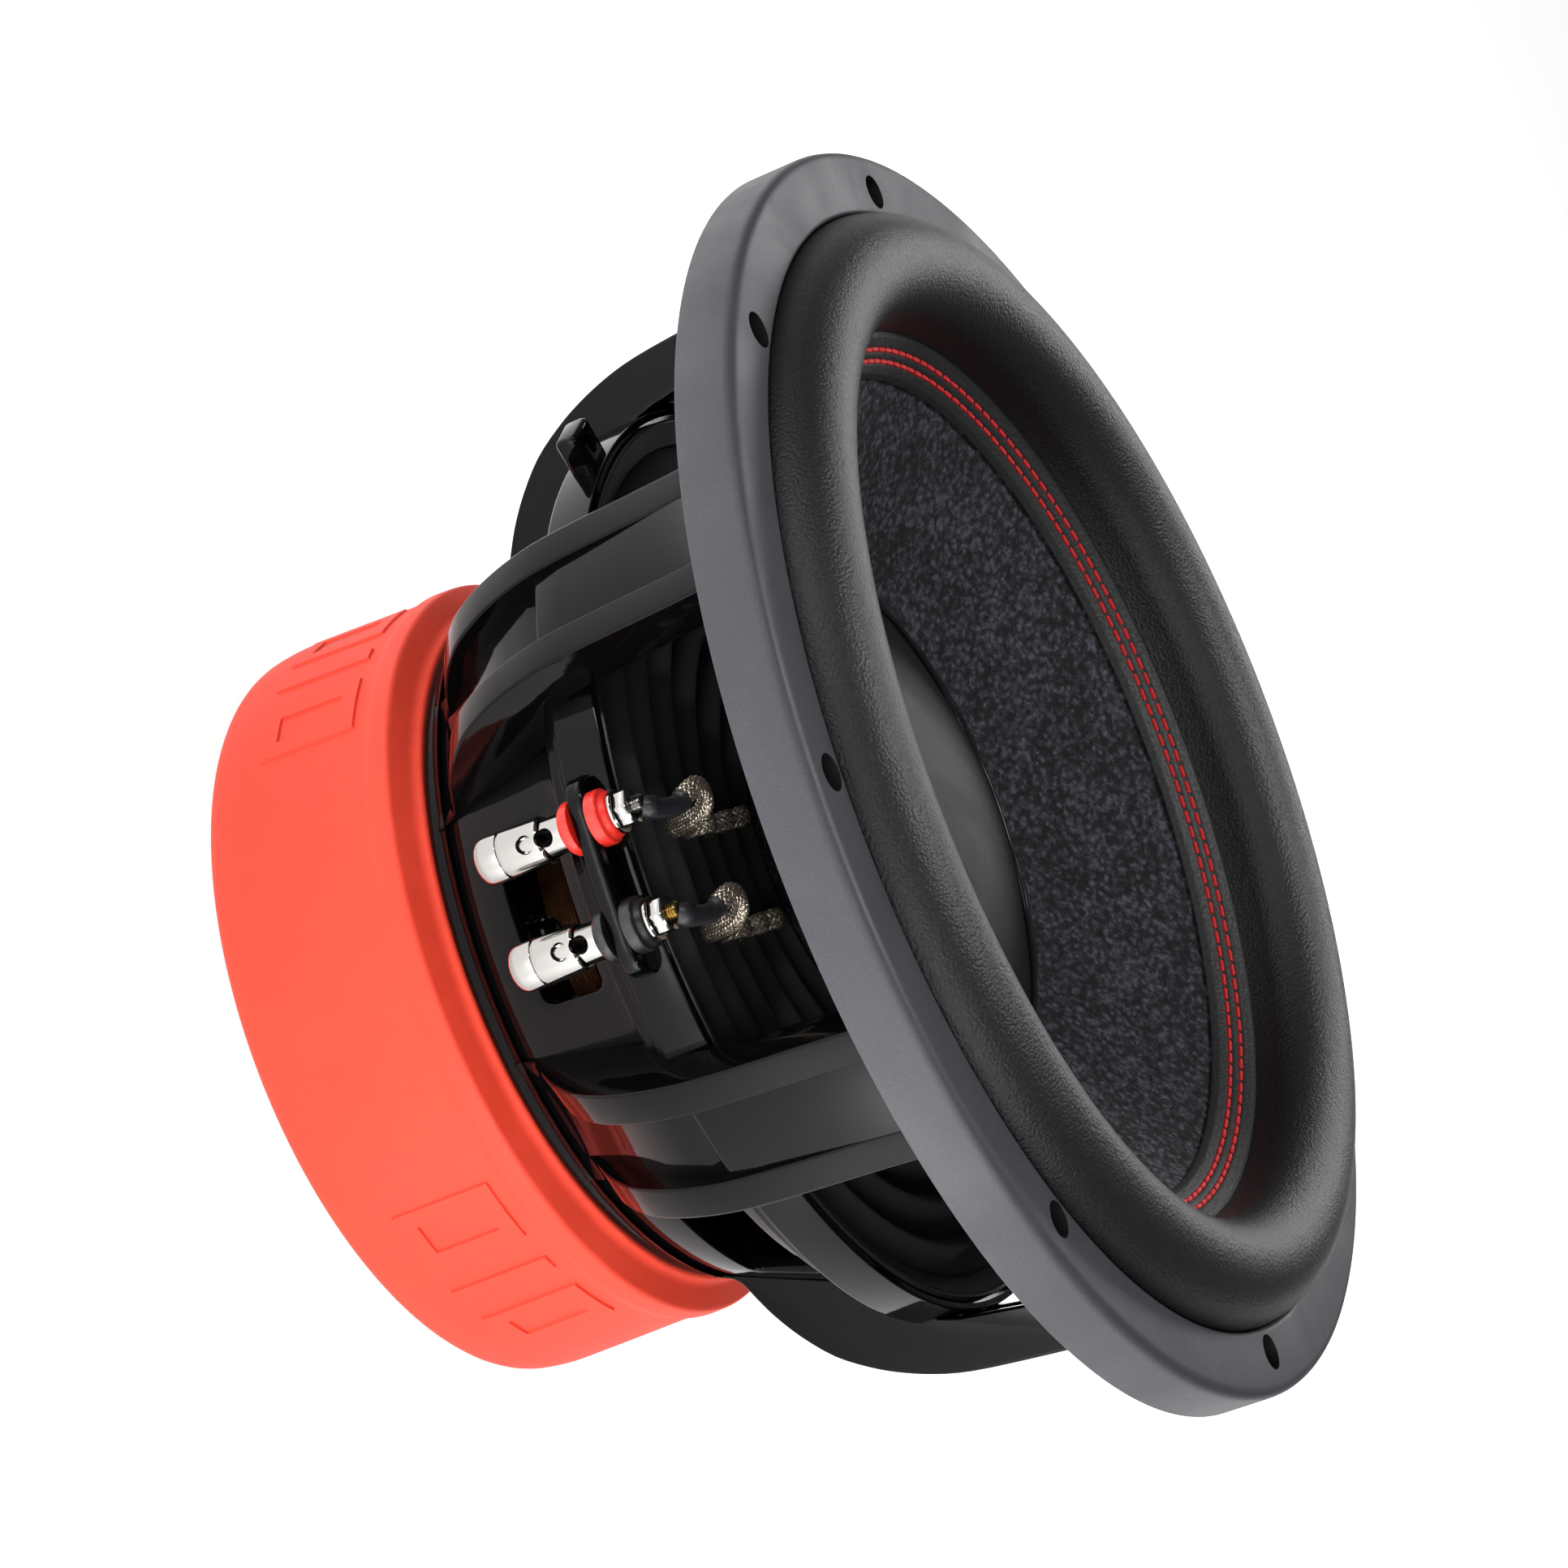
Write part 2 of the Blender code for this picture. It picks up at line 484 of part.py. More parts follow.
def make_terminal(number, side, front):
    """One push terminal, its insulators and nut, and the lead that runs from it to the coil."""
    facing = -1 if front else 1
    x, y = -facing * side * TERMINAL_HALF_PITCH, facing * TERMINAL_Y
    colour = "insulator_red" if side < 0 else "insulator_black"

    post = turned(f"terminal_post_{number}", [
        (0.0, STUD_TOP), (STUD_R, STUD_TOP), (STUD_R, POST_TOP), (POST_R, POST_TOP), (POST_R, POST_BOTTOM),
        (0.0, POST_BOTTOM)], segments=12, closed=False)
    hole = cylinder(f"post_hole_{number}", WIRE_HOLE_R, -0.010, 0.010, (0.0, WIRE_HOLE_Z), 8, along_y=True)
    place(post, "nickel", (x, y, 0.0))
    hole.location = (x, y, 0.0)
    cut_at(post, [hole], f"post_cut_{number}")

    sleeve = turned(f"push_sleeve_{number}", [
        (SLEEVE_BORE_R, SLEEVE_TOP), (SLEEVE_R, SLEEVE_TOP), (SLEEVE_R, SLEEVE_BOTTOM + 0.0010),
        (SLEEVE_R - 0.0008, SLEEVE_BOTTOM + 0.0002), (0.0, SLEEVE_BOTTOM), (0.0, SLEEVE_BOTTOM + 0.0012),
        (SLEEVE_BORE_R, SLEEVE_BOTTOM + 0.0012)], segments=12, closed=False)
    # the wall is closed round the mouth by its own first and last points
    sleeve.data.vertices.add(1)
    sleeve.data.vertices[-1].co = sleeve.data.vertices[0].co
    sleeve.data.edges.add(1)
    sleeve.data.edges[-1].vertices = (6, 7)
    place(sleeve, "nickel", (x, y, 0.0))
    upper = cylinder(f"sleeve_hole_{number}", WIRE_HOLE_R, -0.010, 0.010, (x, WIRE_HOLE_Z - PRESS_TRAVEL), 12, True)
    notch = cylinder(f"sleeve_notch_{number}", WIRE_HOLE_R, -0.010, 0.010, (x, WIRE_HOLE_Z), 12, True)
    for cutter in (upper, notch):
        cutter.location = (0.0, y, 0.0)
    cut_at(sleeve, [upper, notch], f"sleeve_cut_{number}")

    bottom, top = SLEEVE_BOTTOM + 0.0012 + 2 * SPRING_WIRE_R, POST_BOTTOM - 2 * SPRING_WIRE_R
    steps = 6 * SPRING_TURNS
    coil = [(x + SPRING_R * math.cos(2 * math.pi * i / 6), y + SPRING_R * math.sin(2 * math.pi * i / 6),
             bottom + (top - bottom) * i / steps) for i in range(steps + 1)]
    place(wire(f"terminal_spring_{number}", coil, SPRING_WIRE_R, sides_level=0), "zinc_steel")

    rear = turned(f"rear_insulator_{number}", [
        (0.0025, TAB_BOTTOM + 0.0020), (0.0041, TAB_BOTTOM + 0.0020), (0.0041, TAB_BOTTOM - GAP),
        (INSULATOR_R, TAB_BOTTOM - GAP), (INSULATOR_R, POST_TOP + GAP), (0.0025, POST_TOP + GAP)], segments=12)
    place(rear, colour, (x, y, 0.0))
    tab_top = TAB_BOTTOM + TAB_THICK
    collar = tube_profile(0.0025, INSULATOR_R, tab_top + GAP, tab_top + 0.0056)
    front_part = turned(f"front_insulator_{number}", collar, 12)
    place(front_part, colour, (x, y, 0.0))
    make_nut(number, x, y, tab_top + 0.0059)

    def world(route):
        return [(-facing * side * (TERMINAL_HALF_PITCH + out), facing * away, z) for away, out, z in route]

    place(wire(f"lead_sleeve_{number}", smooth_route(world(SLEEVE_ROUTE), 1), LUG_TUBE_R), "shrink_black")
    place(wire(f"tinsel_lead_{number}", smooth_route(world(LEAD_ROUTE), 1), LEAD_R), "tinned_braid")


def cut_at(obj, cutters, name):
    """Cut an object with a group of placed cutters, keeping their places."""
    group = bpy.data.collections.new(name)
    CUTTERS.children.link(group)
    for cutter in cutters:
        group.objects.link(cutter)
        cutter.hide_render, cutter.display_type = True, "WIRE"
    modifier = obj.modifiers.new(name, "BOOLEAN")
    modifier.operation, modifier.solver = "DIFFERENCE", "EXACT"
    modifier.operand_type, modifier.collection = "COLLECTION", group


def make_nut(number, x, y, bottom):
    """The hex nut on a terminal's stud."""
    bore = (STUD_R + GAP) / math.cos(math.pi / 6)
    nut = turned(f"terminal_nut_{number}", tube_profile(bore, 0.0046, bottom, bottom + 0.0038), 6)
    place(nut, "nickel", (x, y, 0.0))


make_basket()
make_trim_ring()
make_surround()
make_cone()
make_dust_cap()
make_coil()
make_spider()
make_motor()
make_boot()
make_screws()
for terminal, (side, front) in enumerate([(-1, True), (1, True), (-1, False), (1, False)], start=1):
    make_terminal(terminal, side, front)
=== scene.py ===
"""Looks for a 12 inch car subwoofer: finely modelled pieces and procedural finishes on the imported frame.

Sizes are in metres, in the frame's own axes: +Z along the speaker's axis towards the cone, and -Y
towards the front pair of push terminals. Each sub-assembly is a class that builds its own pieces.
"""
from __future__ import annotations

import logging
import math
import sys
from dataclasses import dataclass, field
from enum import Enum
from typing import Callable, Iterable, Sequence

import bmesh
import bpy
from mathutils import Matrix, Vector

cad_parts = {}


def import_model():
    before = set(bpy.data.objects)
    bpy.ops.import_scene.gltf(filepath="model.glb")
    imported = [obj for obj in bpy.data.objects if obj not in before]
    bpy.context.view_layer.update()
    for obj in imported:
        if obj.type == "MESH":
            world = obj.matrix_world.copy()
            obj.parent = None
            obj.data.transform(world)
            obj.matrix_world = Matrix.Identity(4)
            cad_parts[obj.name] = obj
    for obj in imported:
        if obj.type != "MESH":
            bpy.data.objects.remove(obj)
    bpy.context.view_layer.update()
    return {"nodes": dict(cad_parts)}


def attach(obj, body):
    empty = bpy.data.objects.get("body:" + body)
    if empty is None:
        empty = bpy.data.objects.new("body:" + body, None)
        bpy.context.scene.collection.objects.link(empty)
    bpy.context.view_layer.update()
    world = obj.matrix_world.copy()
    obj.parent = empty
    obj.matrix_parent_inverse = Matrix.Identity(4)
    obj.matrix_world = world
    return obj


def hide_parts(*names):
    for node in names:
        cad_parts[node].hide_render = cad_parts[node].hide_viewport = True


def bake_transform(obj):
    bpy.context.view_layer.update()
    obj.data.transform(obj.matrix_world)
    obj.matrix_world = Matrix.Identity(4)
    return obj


LOG = logging.getLogger("subwoofer")
Point = tuple[float, float]
TURN = 2 * math.pi
CHASSIS = "chassis"
CONE_BODY = "cone_assembly"
SPOKES = 6
BOLTS = 8
BOLT_CIRCLE = 0.1487
MERGE_DISTANCE = 0.000002
LIMP_OUTER = 0.1035
LIMP_INNER = 0.0440


class Side(Enum):
    """Which pole of the pair a terminal is."""

    POSITIVE = "red"
    NEGATIVE = "black"


# ---------------------------------------------------------------- shader tools


class Wire:
    """A shader output that adds Math nodes when it is used in arithmetic."""

    def __init__(self, paint: "Paint", socket: bpy.types.NodeSocket) -> None:
        """Wrap an output socket of a material's node."""
        self.paint, self.socket = paint, socket

    def _math(self, operation: str, first: object, second: object = None) -> "Wire":
        """Add one Math node and return its result.

        Args:
            operation: The Math node's operation.
            first: The first number or wire.
            second: The second number or wire, if the operation takes one.

        Returns:
            The node's output.
        """
        values = {0: first} if second is None else {0: first, 1: second}
        return self.paint.node("ShaderNodeMath", {"operation": operation}, values)

    def __add__(self, other: object) -> "Wire":
        """Sum."""
        return self._math("ADD", self, other)

    __radd__ = __add__

    def __sub__(self, other: object) -> "Wire":
        """Difference."""
        return self._math("SUBTRACT", self, other)

    def __rsub__(self, other: object) -> "Wire":
        """Difference from a number."""
        return self._math("SUBTRACT", other, self)

    def __mul__(self, other: object) -> "Wire":
        """Product."""
        return self._math("MULTIPLY", self, other)

    __rmul__ = __mul__

    def __truediv__(self, other: object) -> "Wire":
        """Quotient."""
        return self._math("DIVIDE", self, other)

    def __pow__(self, power: float) -> "Wire":
        """Power."""
        return self._math("POWER", self, power)

    def sine(self) -> "Wire":
        """Sine of an angle in radians."""
        return self._math("SINE", self)


class Paint:
    """One material under construction: a Principled shader and the nodes that feed it."""

    def __init__(self, name: str, colour: Sequence[float], roughness: float, metallic: float = 0.0) -> None:
        """Make a material with a plain colour, roughness and metallic value.

        Args:
            name: The material's name.
            colour: Its base colour, as linear red, green and blue.
            roughness: Its roughness, 0 to 1.
            metallic: Its metallic value, 0 to 1.
        """
        self.material = bpy.data.materials.new(name)
        self.material.use_nodes = True
        self.tree = self.material.node_tree
        self.shader = self.tree.nodes["Principled BSDF"]
        self.fix("Base Color", (*colour, 1.0))
        self.fix("Roughness", roughness)
        self.fix("Metallic", metallic)
        self.material.diffuse_color = (*colour, 1.0)

    def fix(self, socket: str, value: object) -> None:
        """Set a constant on the shader."""
        self.shader.inputs[socket].default_value = value

    def feed(self, socket: str, wire: Wire) -> None:
        """Link a wire to one of the shader's inputs."""
        self.tree.links.new(wire.socket, self.shader.inputs[socket])

    def node(self, kind: str, settings: dict | None = None, values: dict | None = None,
             out: int | str = 0) -> Wire:
        """Add any node.

        Args:
            kind: The node's type name.
            settings: Its own settings, set before its sockets.
            values: Numbers, vectors or wires for its input sockets, by name or number.
            out: The output to return, by name or number.

        Returns:
            The chosen output.
        """
        node = self.tree.nodes.new(kind)
        for key, value in (settings or {}).items():
            if key == "stops":
                self._set_stops(node.color_ramp, value)
            else:
                setattr(node, key, value)
        for key, value in (values or {}).items():
            if isinstance(value, Wire):
                self.tree.links.new(value.socket, node.inputs[key])
            elif value is not None:
                node.inputs[key].default_value = value
        return Wire(self, node.outputs[out])

    @staticmethod
    def _set_stops(ramp: bpy.types.ColorRamp, stops: Sequence[tuple[float, float]]) -> None:
        """Set a ramp's grey stops, each a place and a level."""
        for element, (place, level) in zip(ramp.elements, stops):
            element.position, element.color = place, (level, level, level, 1.0)

    def place(self) -> Wire:
        """Object coordinates."""
        return self.node("ShaderNodeTexCoord", out="Object")

    def axes(self) -> tuple[Wire, Wire, Wire]:
        """X, Y and Z of the object coordinates."""
        split = self.node("ShaderNodeSeparateXYZ", values={0: self.place()})
        return tuple(Wire(self, split.socket.node.outputs[i]) for i in range(3))

    def radius(self) -> Wire:
        """Distance from the speaker's axis."""
        x, y, _ = self.axes()
        return (x * x + y * y) ** 0.5

    def angle(self) -> Wire:
        """Angle about the speaker's axis, in radians."""
        x, y, _ = self.axes()
        return self.node("ShaderNodeMath", {"operation": "ARCTAN2"}, {0: y, 1: x})

    def noise(self, scale: float, detail: float = 4.0, roughness: float = 0.5,
              distortion: float = 0.0) -> Wire:
        """Fractal noise on object coordinates, 0 to 1.

        Args:
            scale: How many waves to the metre, about.
            detail: How many octaves it has.
            roughness: How much the finer octaves count.
            distortion: How far the pattern is pushed about.

        Returns:
            The noise's level.
        """
        values = {"Vector": self.place(), "Scale": scale, "Detail": detail, "Roughness": roughness,
                  "Distortion": distortion}
        return self.node("ShaderNodeTexNoise", values=values)

    def cells(self, scale: float, feature: str = "F1", jitter: float = 1.0) -> Wire:
        """Distance field of scattered cells."""
        return self.node("ShaderNodeTexVoronoi", {"feature": feature},
                         {"Vector": self.place(), "Scale": scale, "Randomness": jitter})

    def ramp(self, value: Wire, low: float, high: float, start: float = 0.0, end: float = 1.0) -> Wire:
        """Map a value from one range to another, clamped."""
        values = {0: value, 1: low, 2: high, 3: start, 4: end}
        return self.node("ShaderNodeMapRange", {"clamp": True}, values)

    def mix(self, amount: Wire, first: Sequence[float] | Wire, second: Sequence[float] | Wire) -> Wire:
        """Blend two colours.

        Args:
            amount: 0 for the first colour and 1 for the second.
            first: A colour or a wire.
            second: A colour or a wire.

        Returns:
            The blended colour.
        """
        def value(colour: Sequence[float] | Wire) -> object:
            """A colour as a socket value."""
            return colour if isinstance(colour, Wire) else (*colour, 1.0)

        values = {0: amount, 6: value(first), 7: value(second)}
        return self.node("ShaderNodeMix", {"data_type": "RGBA"}, values, out=2)

    def bump(self, height: Wire, depth: float, strength: float = 1.0) -> None:
        """Feed a height in 0 to 1 to the shader's normal, with its depth in metres."""
        self.feed("Normal", self.node("ShaderNodeBump", {}, {"Strength": strength, "Distance": depth,
                                                              "Height": height}))


@dataclass(frozen=True)
class Finish:
    """A finish's colour, roughness and metallic value; subclasses add its texture."""

    name: str
    colour: tuple[float, float, float]
    roughness: float
    metallic: float = 0.0

    def material(self) -> bpy.types.Material:
        """The finish's material, made once.

        Returns:
            The material.
        """
        found = bpy.data.materials.get(self.name)
        if found is None:
            paint = Paint(self.name, self.colour, self.roughness, self.metallic)
            self.dress(paint)
            found = paint.material
        return found

    def dress(self, paint: Paint) -> None:
        """Faint unevenness, for a plain piece.

        Args:
            paint: The material under construction.
        """
        self.wear(paint, paint.noise(60.0, 3.0), (0.3, 0.7), (0.85, 1.15))
        paint.bump(paint.noise(900.0, 2.0), 0.00005, 0.4)

    def wear(self, paint: Paint, mask: Wire, span: Point, shares: Point) -> None:
        """Vary the roughness with a mask.

        Args:
            paint: The material under construction.
            mask: What the roughness follows.
            span: The mask's values at the two ends.
            shares: The roughness at those ends, as shares of the finish's own.
        """
        ends = [self.roughness * share for share in shares]
        paint.feed("Roughness", paint.ramp(mask, *span, *ends))

    def shade(self, paint: Paint, mask: Wire, span: Point, shares: Point) -> None:
        """Vary the colour with a mask.

        Args:
            paint: The material under construction.
            mask: What the colour follows.
            span: The mask's values at the two ends.
            shares: The colour at those ends, as shares of the finish's own.
        """
        dark, pale = [[channel * share for channel in self.colour] for share in shares]
        paint.feed("Base Color", paint.mix(paint.ramp(mask, *span), dark, pale))


@dataclass(frozen=True)
class GlossPaint(Finish):
    """Thick black gloss coat with a slight orange peel."""

    def dress(self, paint: Paint) -> None:
        """Add the orange peel and a trace of handling.

        Args:
            paint: The material under construction.
        """
        paint.fix("IOR", 1.24)
        self.wear(paint, paint.noise(35.0, 5.0, 0.6, 0.5), (0.35, 0.75), (0.7, 1.8))
        paint.bump(paint.noise(420.0, 2.0), 0.00006, 0.25)


@dataclass(frozen=True)
class MouldedSatin(Finish):
    """Satin moulded plastic with a very fine spark grain and faint rubbed marks."""

    grain: float = 2600.0
    gloss: float = 0.5

    def dress(self, paint: Paint) -> None:
        """Add the grain, and long soft marks that change the gloss.

        Args:
            paint: The material under construction.
        """
        paint.fix("Specular IOR Level", self.gloss)
        grain = paint.noise(self.grain, 3.0, 0.6)
        marks = paint.noise(22.0, 6.0, 0.65, 1.2)
        self.shade(paint, grain, (0.35, 0.7), (0.82, 1.22))
        self.wear(paint, marks, (0.3, 0.75), (0.85, 1.2))
        paint.bump(grain, 0.00010, 0.5)


@dataclass(frozen=True)
class GrainedRubber(Finish):
    """Soft rubber with a pebbled leather grain."""

    grain: float = 1500.0
    depth: float = 0.00016

    def dress(self, paint: Paint) -> None:
        """Add pebbles of two sizes with darker valleys.

        Args:
            paint: The material under construction.
        """
        pebbles = paint.cells(self.grain, "SMOOTH_F1")
        fine = paint.noise(self.grain * 2.2, 3.0, 0.7)
        height = paint.ramp(pebbles, 0.0, 0.8, 1.0, 0.0) * 0.7 + fine * 0.5
        self.shade(paint, height, (0.35, 0.9), (0.55, 1.35))
        self.wear(paint, height, (0.3, 0.95), (1.2, 0.82))
        paint.bump(height, self.depth, 0.75)


@dataclass(frozen=True)
class FibrePulp(Finish):
    """Loose-pressed paper pulp sealed with a thin gloss coat: crumpled, with shiny crests painted pale,
    partly as paler fibre and partly as painted highlight.
    """

    def dress(self, paint: Paint) -> None:
        """Add crumpled folds, fine fibres, and crests painted pale: partly paler fibre, partly painted
        highlight.

        Args:
            paint: The material under construction.
        """
        folds = paint.noise(430.0, 6.0, 0.78, 1.6)
        clumps = paint.cells(560.0, "SMOOTH_F1")
        drift = paint.noise(60.0, 3.0, 0.6)
        height = folds * 1.2 + paint.ramp(clumps, 0.0, 0.9, 0.5, 0.0)
        # Painted highlight, partly real: the fold crests are painted up to nine times paler than the pulp,
        # partly as paler fibre and partly standing in for glints on the gloss coat.
        crest_fibre_and_highlight = paint.ramp(height + drift * 0.30, 0.86, 1.22)
        dark = [channel * 0.35 for channel in self.colour]
        pale = [channel * 9.0 for channel in self.colour]
        paint.feed("Base Color", paint.mix(crest_fibre_and_highlight * crest_fibre_and_highlight, dark, pale))
        paint.feed("Roughness", paint.ramp(crest_fibre_and_highlight, 0.0, 1.0, 0.8, self.roughness))
        paint.bump(height, 0.0016, 1.0)


@dataclass(frozen=True)
class MouldedBoot(Finish):
    """Solid coloured rubber with a dry, slightly mottled skin."""

    def dress(self, paint: Paint) -> None:
        """Add mottling, a dry grain and a little dust.

        Args:
            paint: The material under construction.
        """
        mottle = paint.noise(48.0, 5.0, 0.6)
        grain = paint.noise(2100.0, 3.0, 0.65)
        deep = [channel * 0.90 for channel in self.colour]
        pale = [min(1.0, channel * 1.06 + 0.006) for channel in self.colour]
        paint.feed("Base Color", paint.mix(paint.ramp(mottle * 0.7 + grain * 0.3, 0.35, 0.7), deep, pale))
        self.wear(paint, mottle, (0.3, 0.7), (0.92, 1.12))
        paint.bump(grain, 0.00008, 0.5)


@dataclass(frozen=True)
class Plated(Finish):
    """Polished plate with turning marks too fine to count."""

    def dress(self, paint: Paint) -> None:
        """Add hairline marks and soft smears.

        Args:
            paint: The material under construction.
        """
        _, _, z = paint.axes()
        rings = (z * 26000.0).sine() * 0.5 + 0.5
        smear = paint.noise(150.0, 4.0, 0.6)
        self.wear(paint, smear, (0.3, 0.75), (0.7, 1.7))
        paint.bump(rings * 0.3 + smear * 0.5, 0.00002, 0.3)


@dataclass(frozen=True)
class WovenCloth(Finish):
    """Coarse impregnated cloth: warp round the piece, weft across it."""

    pitch: float = 0.0024
    middle: float = 0.080

    def dress(self, paint: Paint) -> None:
        """Add a twill in polar coordinates, even at the middle radius.

        Args:
            paint: The material under construction.
        """
        turn = paint.angle() * (self.middle / self.pitch)
        out = paint.radius() / self.pitch
        warp = (turn * TURN + out * math.pi).sine() * 0.5 + 0.5
        weft = (out * TURN - turn * math.pi).sine() * 0.5 + 0.5
        fuzz = paint.noise(3200.0, 2.0, 0.6)
        height = warp * weft + fuzz * 0.35
        self.shade(paint, height, (0.20, 0.75), (0.35, 18.0))
        paint.bump(height, 0.0008, 1.0)


@dataclass(frozen=True)
class Thread(Finish):
    """Bright sewing thread with fine plies."""

    def dress(self, paint: Paint) -> None:
        """Add the plies' shade.

        Args:
            paint: The material under construction.
        """
        plies = (paint.angle() * 2300.0 + paint.radius() * 5200.0).sine() * 0.5 + 0.5
        dark = [channel * 0.6 for channel in self.colour]
        paint.feed("Base Color", paint.mix(plies, dark, self.colour))
        paint.bump(plies, 0.0002, 0.6)


@dataclass(frozen=True)
class TinnedBraid(Finish):
    """Fine tinned copper strands, silver with a warm tint in the gaps."""

    fineness: float = 9000.0
    tarnished: tuple[float, float, float] = (0.26, 0.19, 0.13)

    def dress(self, paint: Paint) -> None:
        """Add strands along two slants and tarnish between them.

        Args:
            paint: The material under construction.
        """
        x, y, z = paint.axes()
        leaning = ((x + y + z * 0.6) * self.fineness).sine()
        crossing = ((x - y + z * 0.4) * self.fineness).sine()
        strands = leaning * crossing * 0.5 + 0.5
        tarnish = paint.noise(400.0, 3.0)
        bright = paint.ramp(strands * 0.7 + tarnish * 0.5, 0.3, 0.85)
        paint.feed("Base Color", paint.mix(bright, self.tarnished, self.colour))
        paint.bump(strands, 0.00018, 0.8)


GLOSS_BLACK = GlossPaint("gloss_black_paint", (0.0022, 0.0022, 0.0025), 0.06)
RING_GREY = MouldedSatin("ring_satin_grey", (0.047, 0.048, 0.057), 0.50)
ROLL_RUBBER = GrainedRubber("roll_rubber", (0.010, 0.010, 0.011), 0.36, depth=0.00024)
BAND_LEATHER = GrainedRubber("band_leather", (0.012, 0.012, 0.013), 0.55, grain=1100.0, depth=0.0002)
CONE_PULP = FibrePulp("cone_pulp", (0.017, 0.018, 0.022), 0.38)
CAP_BLACK = MouldedSatin("cap_satin_black", (0.0045, 0.0045, 0.005), 0.52, grain=3400.0, gloss=0.25)
GLUE_BLACK = GlossPaint("glue_black", (0.010, 0.010, 0.012), 0.22)
BOOT_CORAL = MouldedBoot("boot_coral_rubber", (0.94, 0.060, 0.024), 0.60)
NICKEL = Plated("polished_nickel", (0.42, 0.407, 0.39), 0.08, 1.0)
BRASS = Plated("plain_brass", (0.50, 0.37, 0.15), 0.18, 1.0)
ZINC = Plated("zinc_plate", (0.60, 0.61, 0.62), 0.24, 1.0)
SCREW_STEEL = Plated("dark_zinc_screw", (0.42, 0.46, 0.47), 0.12, 1.0)
COPPER = Plated("coil_copper", (0.74, 0.33, 0.16), 0.32, 1.0)
FERRITE = Finish("dark_ferrite", (0.045, 0.045, 0.047), 0.62)
# Near-black steel for the motor's top plate; on the trim ring's hole walls it is painted shade.
BLACK_STEEL_AND_HOLE_SHADE = Finish("blackened_steel", (0.012, 0.012, 0.013), 0.40)
AMBER_FORMER = GlossPaint("amber_former", (0.035, 0.012, 0.004), 0.30)
RED_NYLON = MouldedSatin("red_nylon", (0.86, 0.030, 0.018), 0.34, grain=1800.0)
BLACK_NYLON = MouldedSatin("black_nylon", (0.012, 0.012, 0.013), 0.34, grain=1800.0)
SHRINK = MouldedSatin("shrink_tube", (0.016, 0.016, 0.019), 0.36, grain=900.0)
SPIDER_CLOTH = WovenCloth("spider_cloth", (0.011, 0.011, 0.012), 0.60)
RED_THREAD = Thread("red_thread", (0.95, 0.022, 0.026), 0.50)
BRAID = TinnedBraid("tinned_braid", (0.80, 0.73, 0.63), 0.42, 0.20)


# ---------------------------------------------------------------- modelling tools


